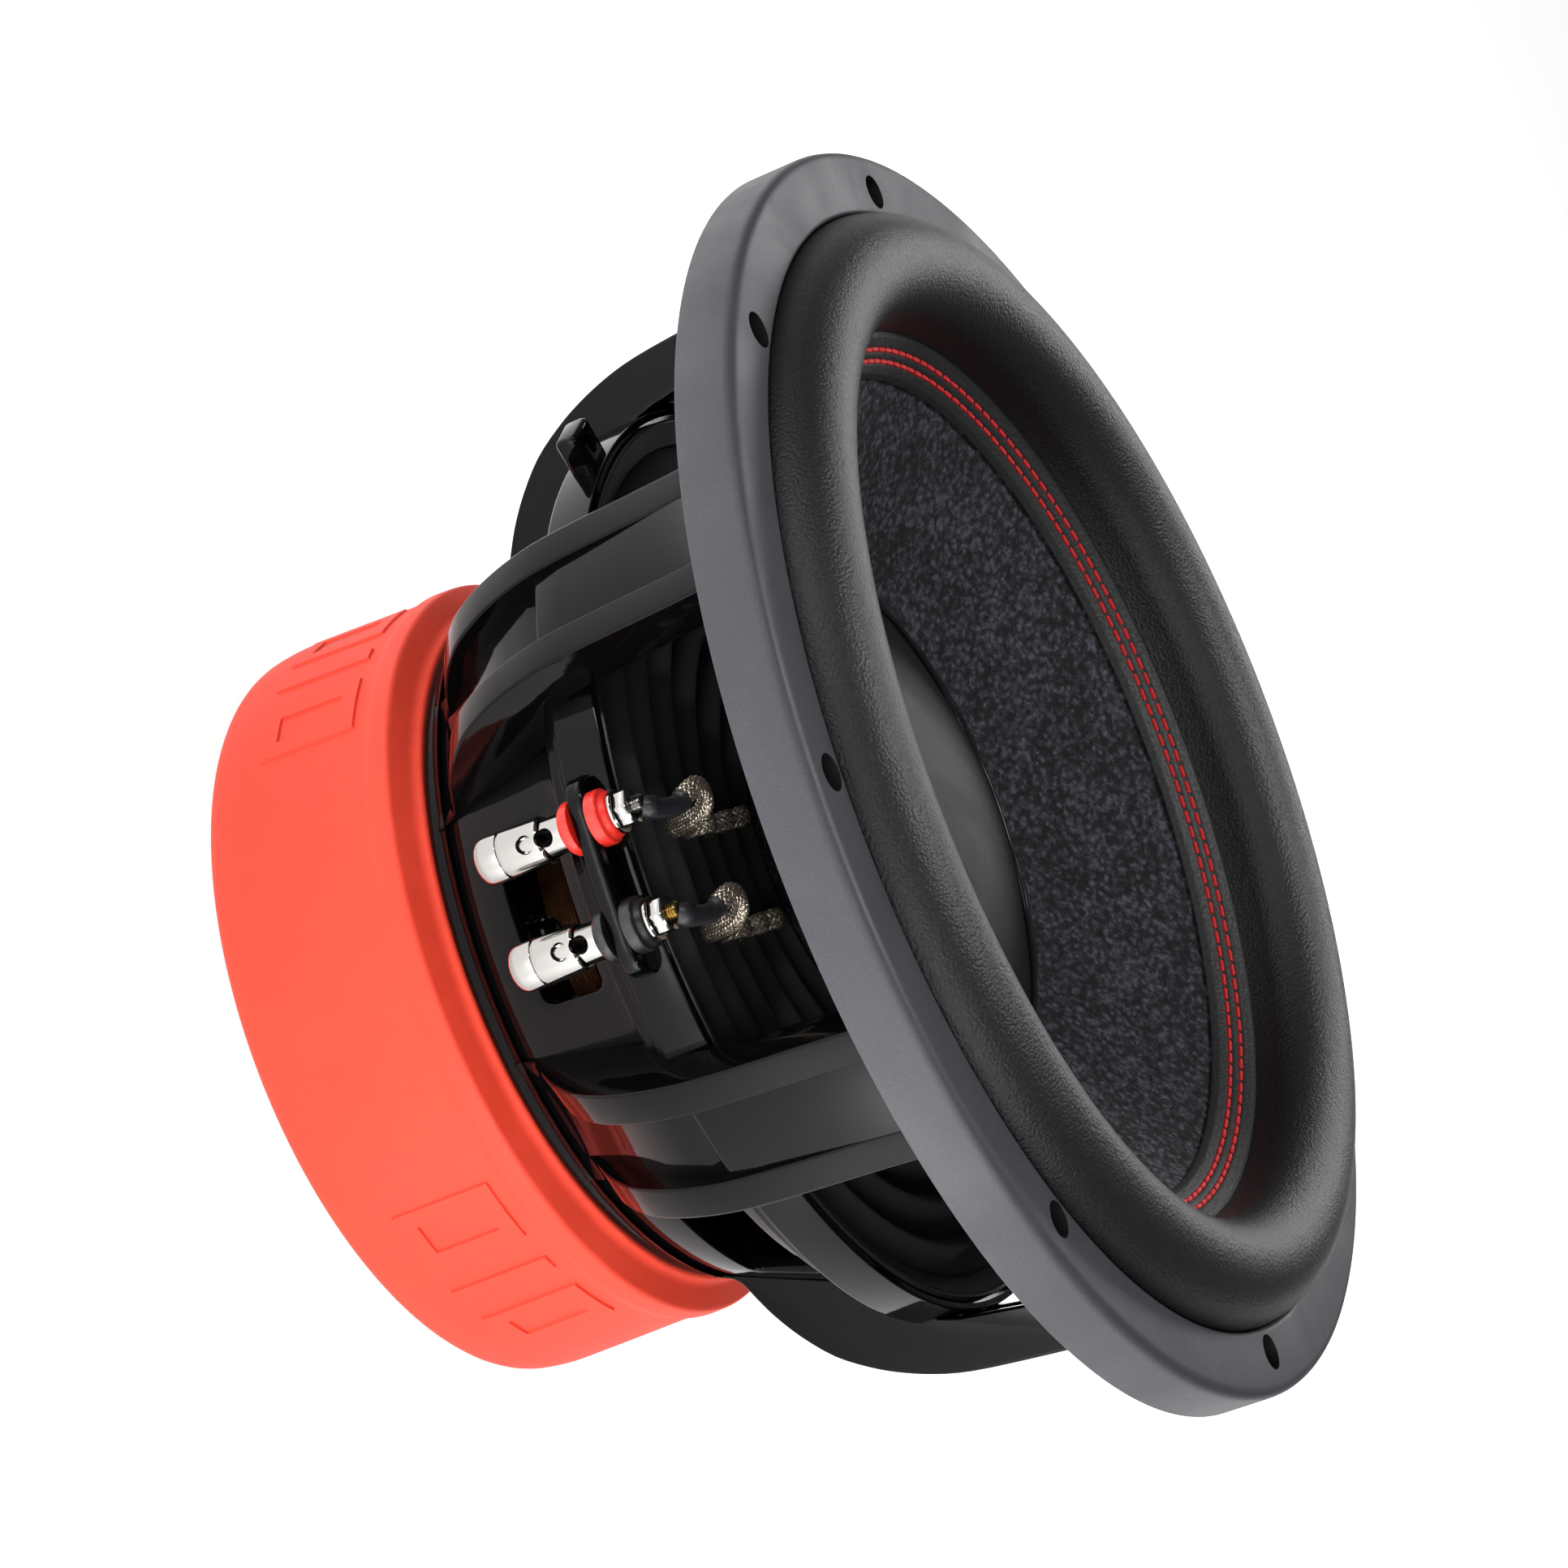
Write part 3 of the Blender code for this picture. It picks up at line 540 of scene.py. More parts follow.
class Bench:
    """Modelling steps shared by the sub-assemblies, each made of Blender's own operators."""

    @staticmethod
    def clear() -> None:
        """Leave edit mode with nothing selected."""
        if bpy.context.object and bpy.context.object.mode != "OBJECT":
            bpy.ops.object.mode_set(mode="OBJECT")
        bpy.ops.object.select_all(action="DESELECT")

    @staticmethod
    def only(obj: bpy.types.Object) -> None:
        """Select one object and make it active.

        Args:
            obj: The object to select.
        """
        Bench.clear()
        obj.select_set(True)
        bpy.context.view_layer.objects.active = obj

    @staticmethod
    def edit(obj: bpy.types.Object, mode: str = "FACE") -> bmesh.types.BMesh:
        """Open an object in edit mode, with nothing selected.

        Args:
            obj: The object to edit.
            mode: VERT, EDGE or FACE.

        Returns:
            The edit mesh.
        """
        Bench.only(obj)
        bpy.ops.object.mode_set(mode="EDIT")
        bpy.ops.mesh.select_mode(type=mode)
        bpy.ops.mesh.select_all(action="DESELECT")
        return bmesh.from_edit_mesh(obj.data)

    @staticmethod
    def pick(obj: bpy.types.Object, mesh: bmesh.types.BMesh, kind: str,
             test: Callable[[object], bool]) -> None:
        """Select the faces, edges or verts that pass a test.

        Args:
            obj: The object in edit mode.
            mesh: Its edit mesh.
            kind: verts, edges or faces.
            test: What an element has to pass.
        """
        for element in getattr(mesh, kind):
            if test(element):
                element.select_set(True)
        mesh.select_flush_mode()
        bmesh.update_edit_mesh(obj.data)

    @staticmethod
    def line(name: str, points: Sequence[Sequence[float]], closed: bool = False) -> bpy.types.Object:
        """Draw a line of edges by extruding one vertex from point to point.

        Args:
            name: The new object's name.
            points: Where the line goes.
            closed: Whether an edge joins its ends.

        Returns:
            The object, in edit mode with all of it selected.
        """
        Bench.clear()
        bpy.ops.mesh.primitive_plane_add(size=0.01)
        obj = bpy.context.object
        obj.name = name
        bpy.ops.object.mode_set(mode="EDIT")
        bpy.ops.mesh.select_mode(type="VERT")
        bpy.ops.mesh.select_all(action="SELECT")
        bpy.ops.mesh.merge(type="CENTER")
        places = [Vector(p) for p in points]
        bpy.ops.transform.translate(value=places[0])
        for here, there in zip(places, places[1:]):
            bpy.ops.mesh.extrude_region_move(TRANSFORM_OT_translate={"value": there - here})
        if closed:
            mesh = bmesh.from_edit_mesh(obj.data)
            ends = [v for v in mesh.verts if len(v.link_edges) == 1]
            bpy.ops.mesh.select_all(action="DESELECT")
            for vert in ends:
                vert.select_set(True)
            bmesh.update_edit_mesh(obj.data)
            bpy.ops.mesh.edge_face_add()
        bpy.ops.mesh.select_all(action="SELECT")
        return obj

    @staticmethod
    def lathe(name: str, profile: Sequence[Point], steps: int = 192,
              closed: bool = True) -> bpy.types.Object:
        """Spin a profile of (radius, height) points about the speaker's axis into a closed body.

        Args:
            name: The new object's name.
            profile: The points to spin.
            steps: How many steps a full turn has.
            closed: Whether an edge joins the profile's ends.

        Returns:
            The body, in object mode.
        """
        obj = Bench.line(name, [(r, 0.0, z) for r, z in profile], closed)
        bpy.ops.mesh.spin(steps=steps, angle=TURN, center=(0, 0, 0), axis=(0, 0, 1))
        bpy.ops.mesh.select_all(action="SELECT")
        bpy.ops.mesh.remove_doubles(threshold=MERGE_DISTANCE)
        bpy.ops.mesh.normals_make_consistent(inside=False)
        bpy.ops.object.mode_set(mode="OBJECT")
        return obj

    @staticmethod
    def plate(name: str, outline: Sequence[Point], thickness: float) -> bpy.types.Object:
        """Fill an outline of (x, z) points and thicken it evenly both ways along Y.

        Args:
            name: The new object's name.
            outline: The plate's corners, in order.
            thickness: Its full thickness.

        Returns:
            The plate, in object mode.
        """
        obj = Bench.line(name, [(x, -thickness / 2, z) for x, z in outline], closed=True)
        bpy.ops.mesh.edge_face_add()
        bpy.ops.mesh.extrude_region_move(TRANSFORM_OT_translate={"value": (0, thickness, 0)})
        bpy.ops.mesh.select_all(action="SELECT")
        bpy.ops.mesh.normals_make_consistent(inside=False)
        bpy.ops.object.mode_set(mode="OBJECT")
        return obj

    @staticmethod
    def modify(obj: bpy.types.Object, kind: str, **settings: object) -> None:
        """Add one modifier and apply it.

        Args:
            obj: The object that gets it.
            kind: The modifier's type.
            **settings: The modifier's own settings.
        """
        Bench.only(obj)
        modifier = obj.modifiers.new(kind.lower(), kind)
        for key, value in settings.items():
            setattr(modifier, key, value)
        bpy.ops.object.modifier_apply(modifier=modifier.name)

    @staticmethod
    def bevel(obj: bpy.types.Object, width: float, segments: int = 3, angle: float = 35.0) -> None:
        """Round every edge sharper than an angle."""
        Bench.modify(obj, "BEVEL", width=width, segments=segments, limit_method="ANGLE",
                     angle_limit=math.radians(angle), use_clamp_overlap=True)

    @staticmethod
    def cut(obj: bpy.types.Object, cutter: bpy.types.Object) -> None:
        """Cut one object out of another."""
        Bench.modify(obj, "BOOLEAN", operation="DIFFERENCE", solver="EXACT", object=cutter)
        bpy.data.objects.remove(cutter, do_unlink=True)

    @staticmethod
    def drill_circle(obj: bpy.types.Object, radius: float, depth: float, height: float, sides: int) -> None:
        """Drill the bolt holes through a piece, along the speaker's axis.

        Args:
            obj: The piece to drill.
            radius: The holes' radius.
            depth: The drill's length.
            height: Where the drill's middle is.
            sides: How many sides the drill has.
        """
        drills = []
        for k in range(BOLTS):
            angle = TURN * k / BOLTS
            place = (BOLT_CIRCLE * math.cos(angle), BOLT_CIRCLE * math.sin(angle), height)
            Bench.clear()
            bpy.ops.mesh.primitive_cylinder_add(vertices=sides, radius=radius, depth=depth, location=place)
            drills.append(bpy.context.object)
        Bench.cut(obj, Bench.join("drills", drills))

    @staticmethod
    def copy(obj: bpy.types.Object, name: str) -> bpy.types.Object:
        """Duplicate an object with a mesh of its own.

        Args:
            obj: The object to copy.
            name: The copy's name.

        Returns:
            The copy, selected.
        """
        Bench.only(obj)
        bpy.ops.object.duplicate(linked=False)
        bpy.context.object.name = name
        return bpy.context.object

    @staticmethod
    def tube(name: str, points: Sequence[Vector], radii: Sequence[float], depth: float,
             sides: int) -> bpy.types.Object:
        """A round tube along points, made a mesh.

        Args:
            name: The new object's name.
            points: The points it follows.
            radii: Its width at each point, as a share of depth.
            depth: Its radius.
            sides: The curve's bevel resolution.

        Returns:
            The tube.
        """
        curve = bpy.data.curves.new(name, "CURVE")
        curve.dimensions, curve.bevel_depth, curve.bevel_resolution = "3D", depth, sides
        curve.use_fill_caps = True
        spline = curve.splines.new("POLY")
        spline.points.add(len(points) - 1)
        for spot, place, radius in zip(spline.points, points, radii):
            spot.co, spot.radius = (*place, 1.0), radius
        obj = bpy.data.objects.new(name, curve)
        bpy.context.scene.collection.objects.link(obj)
        Bench.only(obj)
        bpy.ops.object.convert(target="MESH")
        obj = bpy.context.object
        Bench.edit(obj, "VERT")
        bpy.ops.mesh.select_all(action="SELECT")
        bpy.ops.mesh.remove_doubles(threshold=MERGE_DISTANCE)
        bpy.ops.mesh.normals_make_consistent(inside=False)
        bpy.ops.object.mode_set(mode="OBJECT")
        return obj

    @staticmethod
    def settle(obj: bpy.types.Object) -> None:
        """Apply an object's place, turn and scale to its mesh."""
        Bench.only(obj)
        bpy.ops.object.transform_apply(location=True, rotation=True, scale=True)

    @staticmethod
    def join(name: str, objects: Sequence[bpy.types.Object]) -> bpy.types.Object:
        """Join several objects as one.

        Args:
            name: The joined object's name.
            objects: What to join.

        Returns:
            The joined object.
        """
        Bench.only(objects[0])
        for obj in objects:
            obj.select_set(True)
        bpy.ops.object.join()
        bpy.context.object.name = name
        return bpy.context.object

    @staticmethod
    def turned_copies(obj: bpy.types.Object, angles: Iterable[float]) -> list[bpy.types.Object]:
        """Settled copies of an object at several angles about the axis; the original is removed.

        Args:
            obj: The object to copy.
            angles: Each copy's angle in radians.

        Returns:
            The copies, in order.
        """
        copies = []
        for number, angle in enumerate(angles, start=1):
            made = Bench.copy(obj, f"{obj.name}_{number}")
            made.rotation_euler = (0.0, 0.0, angle)
            Bench.settle(made)
            copies.append(made)
        bpy.data.objects.remove(obj, do_unlink=True)
        return copies

    @staticmethod
    def finish(obj: bpy.types.Object, finish: Finish, body: str | None, slot: str,
               nodes: Sequence[str] = (), crease: float = 32.0) -> None:
        """Smooth a piece, dress it, tie it to its body, hide the nodes it stands for, and log it.

        Args:
            obj: The modelled piece.
            finish: What it is finished in.
            body: The body that it rides on, or None to leave it unattached, for a piece that bends between
                two in the real speaker.
            slot: Not used.
            nodes: The CAD nodes that it replaces.
            crease: Edges sharper than this many degrees stay sharp.
        """
        Bench.settle(obj)
        bpy.ops.object.shade_smooth_by_angle(angle=math.radians(crease))
        obj.data.materials.clear()
        obj.data.materials.append(finish.material())
        if body:
            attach(obj, body)
        if nodes:
            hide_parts(*nodes)
        LOG.info("%s in %s", obj.name, finish.name)


def rounded(points: Sequence[tuple[float, ...]], steps: int = 4, closed: bool = True) -> list[Point]:
    """Round the corners of a profile.

    Args:
        points: Each corner as (radius, height), with a third number where it is rounded: how far
            from the corner the curve starts.
        steps: How many steps each curve has.
        closed: Whether the profile's ends meet.

    Returns:
        The profile's points, in order.
    """
    count, result = len(points), []
    for i, corner in enumerate(points):
        here = Vector(corner[:2])
        if len(corner) < 3 or (not closed and i in (0, count - 1)):
            result.append(tuple(here))
            continue
        before, after = Vector(points[i - 1][:2]), Vector(points[(i + 1) % count][:2])
        start = here + (before - here).normalized() * min(corner[2], (before - here).length * 0.49)
        end = here + (after - here).normalized() * min(corner[2], (after - here).length * 0.49)
        for step in range(steps + 1):
            t = step / steps
            result.append(tuple(start * (1 - t) ** 2 + here * 2 * t * (1 - t) + end * t * t))
    return result


def arc(centre: Point, radius: float, start: float, end: float, steps: int) -> list[Point]:
    """Points on a circle between two angles in degrees, both ends included.

    Args:
        centre: The circle's centre.
        radius: Its radius.
        start: The first angle.
        end: The last angle.
        steps: How many steps there are between them.

    Returns:
        The points, in order.
    """
    angles = [math.radians(start + (end - start) * i / steps) for i in range(steps + 1)]
    return [(centre[0] + radius * math.cos(a), centre[1] + radius * math.sin(a)) for a in angles]


def smooth(points: Sequence[Vector], steps: int) -> list[Vector]:
    """Draw a curve through points.

    Args:
        points: The points it goes through.
        steps: How many steps each span has.

    Returns:
        The curve's points, both ends included.
    """
    knots = [2 * points[0] - points[1], *points, 2 * points[-1] - points[-2]]
    route = []
    for a, b, c, d in zip(knots, knots[1:], knots[2:], knots[3:]):
        for step in range(steps):
            t = step / steps
            bend = (2 * a - 5 * b + 4 * c - d) * t * t
            twist = (3 * b - a - 3 * c + d) * t ** 3
            route.append(0.5 * (2 * b + (c - a) * t + bend + twist))
    return route + [points[-1]]


def radial_weights(obj: bpy.types.Object, still: float, moving: float) -> None:
    """Bake a piece's transform and work out each vertex's share of the cone's motion by its distance from
    the axis; the shares are kept nowhere, so the piece does not bend.

    Args:
        obj: The finished piece.
        still: Beyond this radius the share is 0, the chassis's.
        moving: Within this radius the share is 1, the cone's.
    """
    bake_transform(obj)
    for vert in obj.data.vertices:
        share = (math.hypot(vert.co.x, vert.co.y) - still) / (moving - still)
        share = min(1.0, max(0.0, share))


# ---------------------------------------------------------------- sub-assemblies


@dataclass
class TrimRing:
    """The moulded ring round the front, with eight bolt holes."""

    outer: float = 0.159
    inner: float = 0.1427
    top: float = 0.1872
    bottom: float = 0.1720
    skirt: float = 0.1579
    seat: float = 0.1776
    hole: float = 0.0044

    def build(self) -> None:
        """Spin the ring and drill its holes."""
        profile = rounded([
            (self.inner, self.top, 0.0014), (self.outer, self.top, 0.0030),
            (self.outer, self.bottom, 0.0004), (self.skirt, self.bottom), (self.skirt, self.seat),
            (self.inner, self.seat)], steps=6)
        ring = Bench.lathe("trim_ring_fine", profile, 216)
        Bench.drill_circle(ring, self.hole, depth=0.030, height=self.top - 0.005, sides=40)
        Bench.finish(ring, RING_GREY, CHASSIS, "ring_grey", ["trim_ring"], crease=28.0)
        self.shade_holes(ring)

    def shade_holes(self, ring: bpy.types.Object) -> None:
        """Paint shade on the holes' walls: they get the near-black steel material as a painted shadow inside
        each hole.

        Args:
            ring: The finished ring.
        """
        # Painted shade: the hole walls take the near-black material, which stands in for the shadow inside
        # each hole.
        ring.data.materials.append(BLACK_STEEL_AND_HOLE_SHADE.material())
        for face in ring.data.polygons:
            turn = math.atan2(face.center.y, face.center.x)
            nearest = round(turn / (TURN / BOLTS)) * (TURN / BOLTS)
            hole = Vector((math.cos(nearest), math.sin(nearest))) * BOLT_CIRCLE
            if abs(face.normal.z) < 0.5 and (face.center.xy - hole).length < self.hole + 0.0002:
                face.material_index = 1


@dataclass
class Suspension:
    """The half-roll surround, its stitched band, and the spider behind the cone."""

    roll_r: float = 0.1285
    roll_z: float = 0.1856
    roll: float = 0.0138
    wall: float = 0.0020
    seam: Point = (0.1147, 0.1796)
    edge: Point = (0.1055, 0.1722)
    land_bottom: float = 0.1776
    stitch_rows: tuple[Point, Point] = ((0.1113, 0.1769), (0.1090, 0.17505))
    stitches: int = 160
    stitch_lift: float = 0.00025
    roll_still: float = 0.1405
    roll_moving: float = 0.1165
    spider_mid: float = 0.1183
    spider_inner: float = 0.0396
    spider_outer: float = 0.1040
    cloth: float = 0.0006
    spider_wave: float = 0.0035
    spider_pitch: float = 0.0112

    def build(self) -> None:
        """Build every soft piece of the suspension."""
        self.build_roll()
        self.build_band()
        self.build_stitches()
        self.build_spider()

    def build_roll(self) -> None:
        """Spin the half roll with its outer land."""
        centre = (self.roll_r, self.roll_z)
        side = self.roll_r + self.roll
        outer = arc(centre, self.roll, 180, 0, 30)
        inner = arc(centre, self.roll - self.wall, 0, 180, 22)
        land = self.land_bottom + self.wall
        tuck = self.seam[1] - 0.0026
        profile = [(self.seam[0] - 0.0006, tuck), (self.roll_r - self.roll + 0.0001, self.seam[1])] + outer
        profile += [(side, land), (side - 0.0004, self.land_bottom), (0.1350, self.land_bottom)]
        profile += [(0.1347, land)]
        profile += [(side - self.wall, land + 0.0005)] + inner
        profile += [(self.roll_r - self.roll + self.wall, tuck + 0.0022)]
        roll = Bench.lathe("surround_roll", profile, 216)
        Bench.finish(roll, ROLL_RUBBER, None, "surround_black", ["surround"], crease=50.0)
        radial_weights(roll, self.roll_still, self.roll_moving)

    def build_band(self) -> None:
        """Spin the stitched band: a puffy strip with a groove along each row of stitches."""
        seam, edge = Vector(self.seam), Vector(self.edge)
        across = seam - edge
        lift = Vector((-across.y, across.x)).normalized()
        grooves = [((Vector(row) - edge).dot(across) / across.length_squared) for row in self.stitch_rows]
        groove_width, groove_depth, padding, count = 0.00055, 0.00050, 0.00055, 44
        top = []
        for i in range(count + 1):
            t = i / count
            groove = sum(math.exp(-((t - g) * across.length / groove_width) ** 2) for g in grooves)
            puff = padding * min(1.0, 8 * t, 12 * (1 - t)) - groove_depth * groove
            top.append(tuple(edge + across * t + lift * puff))
        under = [tuple(seam - lift * 0.0014 + across * 0.02), tuple(edge - lift * 0.0006)]
        bead = [tuple(edge - across.normalized() * 0.0003 - lift * 0.0002)]
        band = Bench.lathe("surround_band", bead + top + under, 216)
        Bench.finish(band, BAND_LEATHER, CONE_BODY, "surround_black", crease=50.0)

    def build_stitches(self) -> None:
        """Make one stitch for each row and spin copies of it round the band."""
        slope = math.atan2(self.seam[1] - self.edge[1], self.seam[0] - self.edge[0])
        rows = []
        for number, (radius, height) in enumerate(self.stitch_rows):
            Bench.clear()
            lift = Vector((-math.sin(slope), 0.0, math.cos(slope))) * self.stitch_lift
            bpy.ops.mesh.primitive_cylinder_add(
                vertices=8, radius=0.00064, depth=0.0034, location=Vector((radius, 0.0, height)) + lift,
                rotation=(math.pi / 2, 0.0, 0.0))
            stitch = bpy.context.object
            stitch.scale = (1.25, 0.8, 1.0)
            Bench.settle(stitch)
            Bench.bevel(stitch, 0.0004, 2, 50.0)
            Bench.edit(stitch)
            bpy.ops.mesh.select_all(action="SELECT")
            sweep = TURN * (self.stitches - 1) / self.stitches
            bpy.ops.mesh.spin(steps=self.stitches - 1, dupli=True, angle=sweep, center=(0, 0, 0),
                              axis=(0, 0, 1))
            bpy.ops.object.mode_set(mode="OBJECT")
            if number:
                stitch.rotation_euler = (0.0, 0.0, math.pi / self.stitches * 0.4)
                Bench.settle(stitch)
            rows.append(stitch)
        thread = Bench.join("surround_stitches", rows)
        Bench.finish(thread, RED_THREAD, CONE_BODY, "insulator_red", crease=60.0)

    def build_spider(self) -> None:
        """Spin the corrugated cloth and the ring that clamps its edge."""
        inner, outer, steps = self.spider_inner, self.spider_outer, 110
        rest = self.spider_mid + self.cloth
        top = []
        for i in range(steps + 1):
            radius = inner + (outer - inner) * i / steps
            share = min(1.0, (radius - inner) / 0.006, (outer + 0.0015 - radius) / 0.004)
            phase = TURN * (radius - inner) / self.spider_pitch - math.pi / 2
            top.append((radius, rest + self.spider_wave * share * math.sin(phase)))
        top += [(0.1052, rest), (0.1149, rest)]
        bottom = [(r, z - self.cloth) for r, z in reversed(top)]
        spider = Bench.lathe("spider_cloth_piece", top + bottom, 192)
        Bench.finish(spider, SPIDER_CLOTH, None, "spider_cloth", ["spider"], crease=50.0)
        radial_weights(spider, LIMP_OUTER, LIMP_INNER)
        outline = rounded([(0.1083, 0.1193), (0.1083, 0.1202, 0.0004), (0.1128, 0.1222, 0.0008),
                           (0.1140, 0.1229, 0.0006), (0.1146, 0.1222, 0.0004), (0.1146, 0.1193)])
        clamp = Bench.lathe("spider_clamp", outline, 160)
        Bench.finish(clamp, BLACK_NYLON, CHASSIS, "insulator_black", ["spider_ring"])


@dataclass
class ConeGroup:
    """The pulp cone, the dust cap and the bead of glue round it."""

    outer_r: float = 0.1138
    neck_r: float = 0.0391
    neck_z: float = 0.1206
    slope: float = 0.758
    wall: float = 0.0020
    cap_r: float = 0.0650
    cap_rise: float = 0.0165
    cap_wall: float = 0.0011
    lip: float = 0.0012
    lip_height: float = 0.0007
    bead_r: float = 0.0012
    bead_out: float = 0.0014
    bead_lift: float = 0.0009

    def front(self, radius: float) -> float:
        """Height of the cone's front at a radius."""
        return self.neck_z + (radius - self.neck_r) * self.slope

    def build(self) -> None:
        """Build the cone, cap and bead."""
        steps = 40
        rows = [self.neck_r + (self.outer_r - self.neck_r) * i / steps for i in range(steps + 1)]
        front = [(r, self.front(r)) for r in rows]
        back = [(r, self.front(r) - self.wall) for r in reversed(rows)]
        shell = Bench.lathe("cone_shell", front + back, 192)
        Bench.finish(shell, CONE_PULP, CONE_BODY, "cone_fibre", ["cone"])
        base = self.front(self.cap_r) + 0.0003
        radius = (self.cap_r ** 2 + self.cap_rise ** 2) / (2 * self.cap_rise)
        reach = math.degrees(math.asin(self.cap_r / radius))
        centre = (0.0, base + self.cap_rise - radius)
        outer = arc(centre, radius, 90, 90 - reach, 40)
        inner = arc(centre, radius - self.cap_wall, 90 - reach, 90, 24)
        outer[0] = (0.0, outer[0][1])
        inner[-1] = (0.0, inner[-1][1])
        low = base - 0.0001
        lip = [(self.cap_r + self.lip, low + self.lip_height), (self.cap_r + self.lip, low)]
        cap = Bench.lathe("dust_cap_dome", outer[:-1] + lip + inner, 160, closed=False)
        Bench.finish(cap, CAP_BLACK, CONE_BODY, "cap_black", ["dust_cap"], crease=40.0)
        self.build_bead(base)

    def build_bead(self, base: float) -> None:
        """Lay an uneven bead of glue in the corner between cap and cone.

        Args:
            base: Height of the cap's foot.
        """
        Bench.clear()
        reach, height = self.cap_r + self.bead_out, base + self.bead_lift
        bpy.ops.mesh.primitive_torus_add(major_radius=reach, minor_radius=self.bead_r, major_segments=240,
                                         minor_segments=12, location=(0, 0, height))
        bead = bpy.context.object
        bead.name = "cap_glue_bead"
        bpy.ops.object.transform_apply(location=True)
        mesh = Bench.edit(bead, "VERT")
        for vert in mesh.verts:
            angle = math.atan2(vert.co.y, vert.co.x)
            swell = 1 + 0.16 * math.sin(7 * angle) + 0.10 * math.sin(19 * angle + 1.3)
            swell += 0.06 * math.sin(41 * angle)
            middle = Vector((math.cos(angle), math.sin(angle), 0)) * reach
            middle.z = height
            vert.co = middle + (vert.co - middle) * swell
        bmesh.update_edit_mesh(bead.data)
        bpy.ops.object.mode_set(mode="OBJECT")
        Bench.finish(bead, GLUE_BLACK, CONE_BODY, "cap_black", crease=80.0)


@dataclass
class Basket:
    """The cast basket in thick black gloss: base, windowed bowl, six two-ribbed spokes, flange and ears."""

    base_r: float = 0.0895
    base_hole: float = 0.0460
    base_bottom: float = 0.0594
    base_top: float = 0.0642
    window_low: float = 0.0790
    window_high: float = 0.0975
    window_half: float = 12.0
    rib_offset: float = 0.0136
    rib_thick: float = 0.0085
    rib_overlap: float = 0.002
    flange_bottom: float = 0.1720
    flange_top: float = 0.1773
    tab_bottom: float = 0.1142
    tab_thick: float = 0.0044
    bolt_hole: float = 0.0033
    ear_size: tuple[float, float, float] = (0.0135, 0.0118, 0.0062)
    ear_hole: float = 0.0025
    ear_turns: tuple[float, float] = (30.0, 210.0)
    segments: int = 180

    def build(self) -> None:
        """Build the parts of the casting and join them."""
        parts = [self.base(), self.bowl(), self.flange()]
        parts += self.spokes() + self.ears() + self.tabs()
        basket = Bench.join("basket_casting", parts)
        Bench.finish(basket, GLOSS_BLACK, CHASSIS, "gloss_black", ["basket"], crease=34.0)

    def base(self) -> bpy.types.Object:
        """Spin the base flange that the screws hold to the motor.

        Returns:
            The base flange.
        """
        profile = rounded([
            (self.base_hole, self.base_top - 0.0006, 0.0006), (0.0860, self.base_top - 0.0006),
            (0.0915, self.base_top + 0.0008), (self.base_r + 0.0004, self.base_top - 0.0008, 0.0012),
            (self.base_r, self.base_bottom, 0.0012), (self.base_hole, self.base_bottom)])
        return Bench.lathe("base_flange", profile, self.segments)

    def bowl(self) -> bpy.types.Object:
        """Spin the stepped bowl and open its windows.

        Returns:
            The bowl with its six windows.
        """
        outer = rounded([
            (0.1155, 0.1222), (0.1173, 0.1222, 0.0006), (0.1173, 0.1106, 0.0008), (0.1130, 0.1102, 0.0005),
            (0.1130, 0.1076, 0.0007), (0.1092, 0.1070, 0.0005), (0.1090, 0.1036, 0.0010),
            (0.1042, 0.1020, 0.0012), (0.1024, self.window_high), (0.0959, self.window_low),
            (0.0922, 0.0690, 0.0020), (0.0893, 0.0636)], steps=4, closed=False)
        inner = [(0.0855, 0.0636), (0.0912, self.window_low), (0.0978, self.window_high), (0.1000, 0.1030),
                 (0.1040, 0.1090), (0.1040, 0.1180), (0.1155, 0.1180)]
        bowl = Bench.lathe("bowl", outer + inner, self.segments)
        for k in range(SPOKES):
            self.open_window(bowl, TURN * (k + 0.5) / SPOKES)
        return bowl

    def open_window(self, bowl: bpy.types.Object, middle: float) -> None:
        """Take the faces out of one window, bridge its inner and outer rims, and round them.

        Args:
            bowl: The bowl.
            middle: The window's angle about the axis, in radians.
        """
        slack, slack_turn = 1e-4, 0.2

        def near(point: Vector) -> bool:
            """Whether a point lies in or on the window.

            Args:
                point: A place in the bowl.

            Returns:
                True in or on the window.
            """
            away = math.degrees((math.atan2(point.y, point.x) - middle + math.pi) % TURN - math.pi)
            return (abs(away) < self.window_half + slack_turn
                    and self.window_low - slack < point.z < self.window_high + slack)

        mesh = Bench.edit(bowl)
        Bench.pick(bowl, mesh, "faces", lambda f: near(f.calc_center_median()))
        bpy.ops.mesh.delete(type="FACE")
        bpy.ops.mesh.select_mode(type="EDGE")
        mesh = bmesh.from_edit_mesh(bowl.data)
        Bench.pick(bowl, mesh, "edges", lambda e: e.is_boundary and all(near(v.co) for v in e.verts))
        bpy.ops.mesh.bridge_edge_loops()
        mesh = bmesh.from_edit_mesh(bowl.data)
        bpy.ops.mesh.select_all(action="DESELECT")

        def rim(edge: bmesh.types.BMEdge) -> bool:
            """Whether an edge is a sharp corner of the window."""
            return (all(near(v.co) for v in edge.verts) and len(edge.link_faces) == 2
                    and edge.calc_face_angle(0.0) > math.radians(50))

        def corner(edge: bmesh.types.BMEdge) -> bool:
            """Whether an edge crosses the wall at a corner of the window.

            Args:
                edge: An edge of the bowl.

            Returns:
                True at a corner.
            """
            here, there = [v.co for v in edge.verts]
            crosses = abs(here.xy.length - there.xy.length) > 0.003
            return rim(edge) and crosses and abs(here.z - there.z) < slack

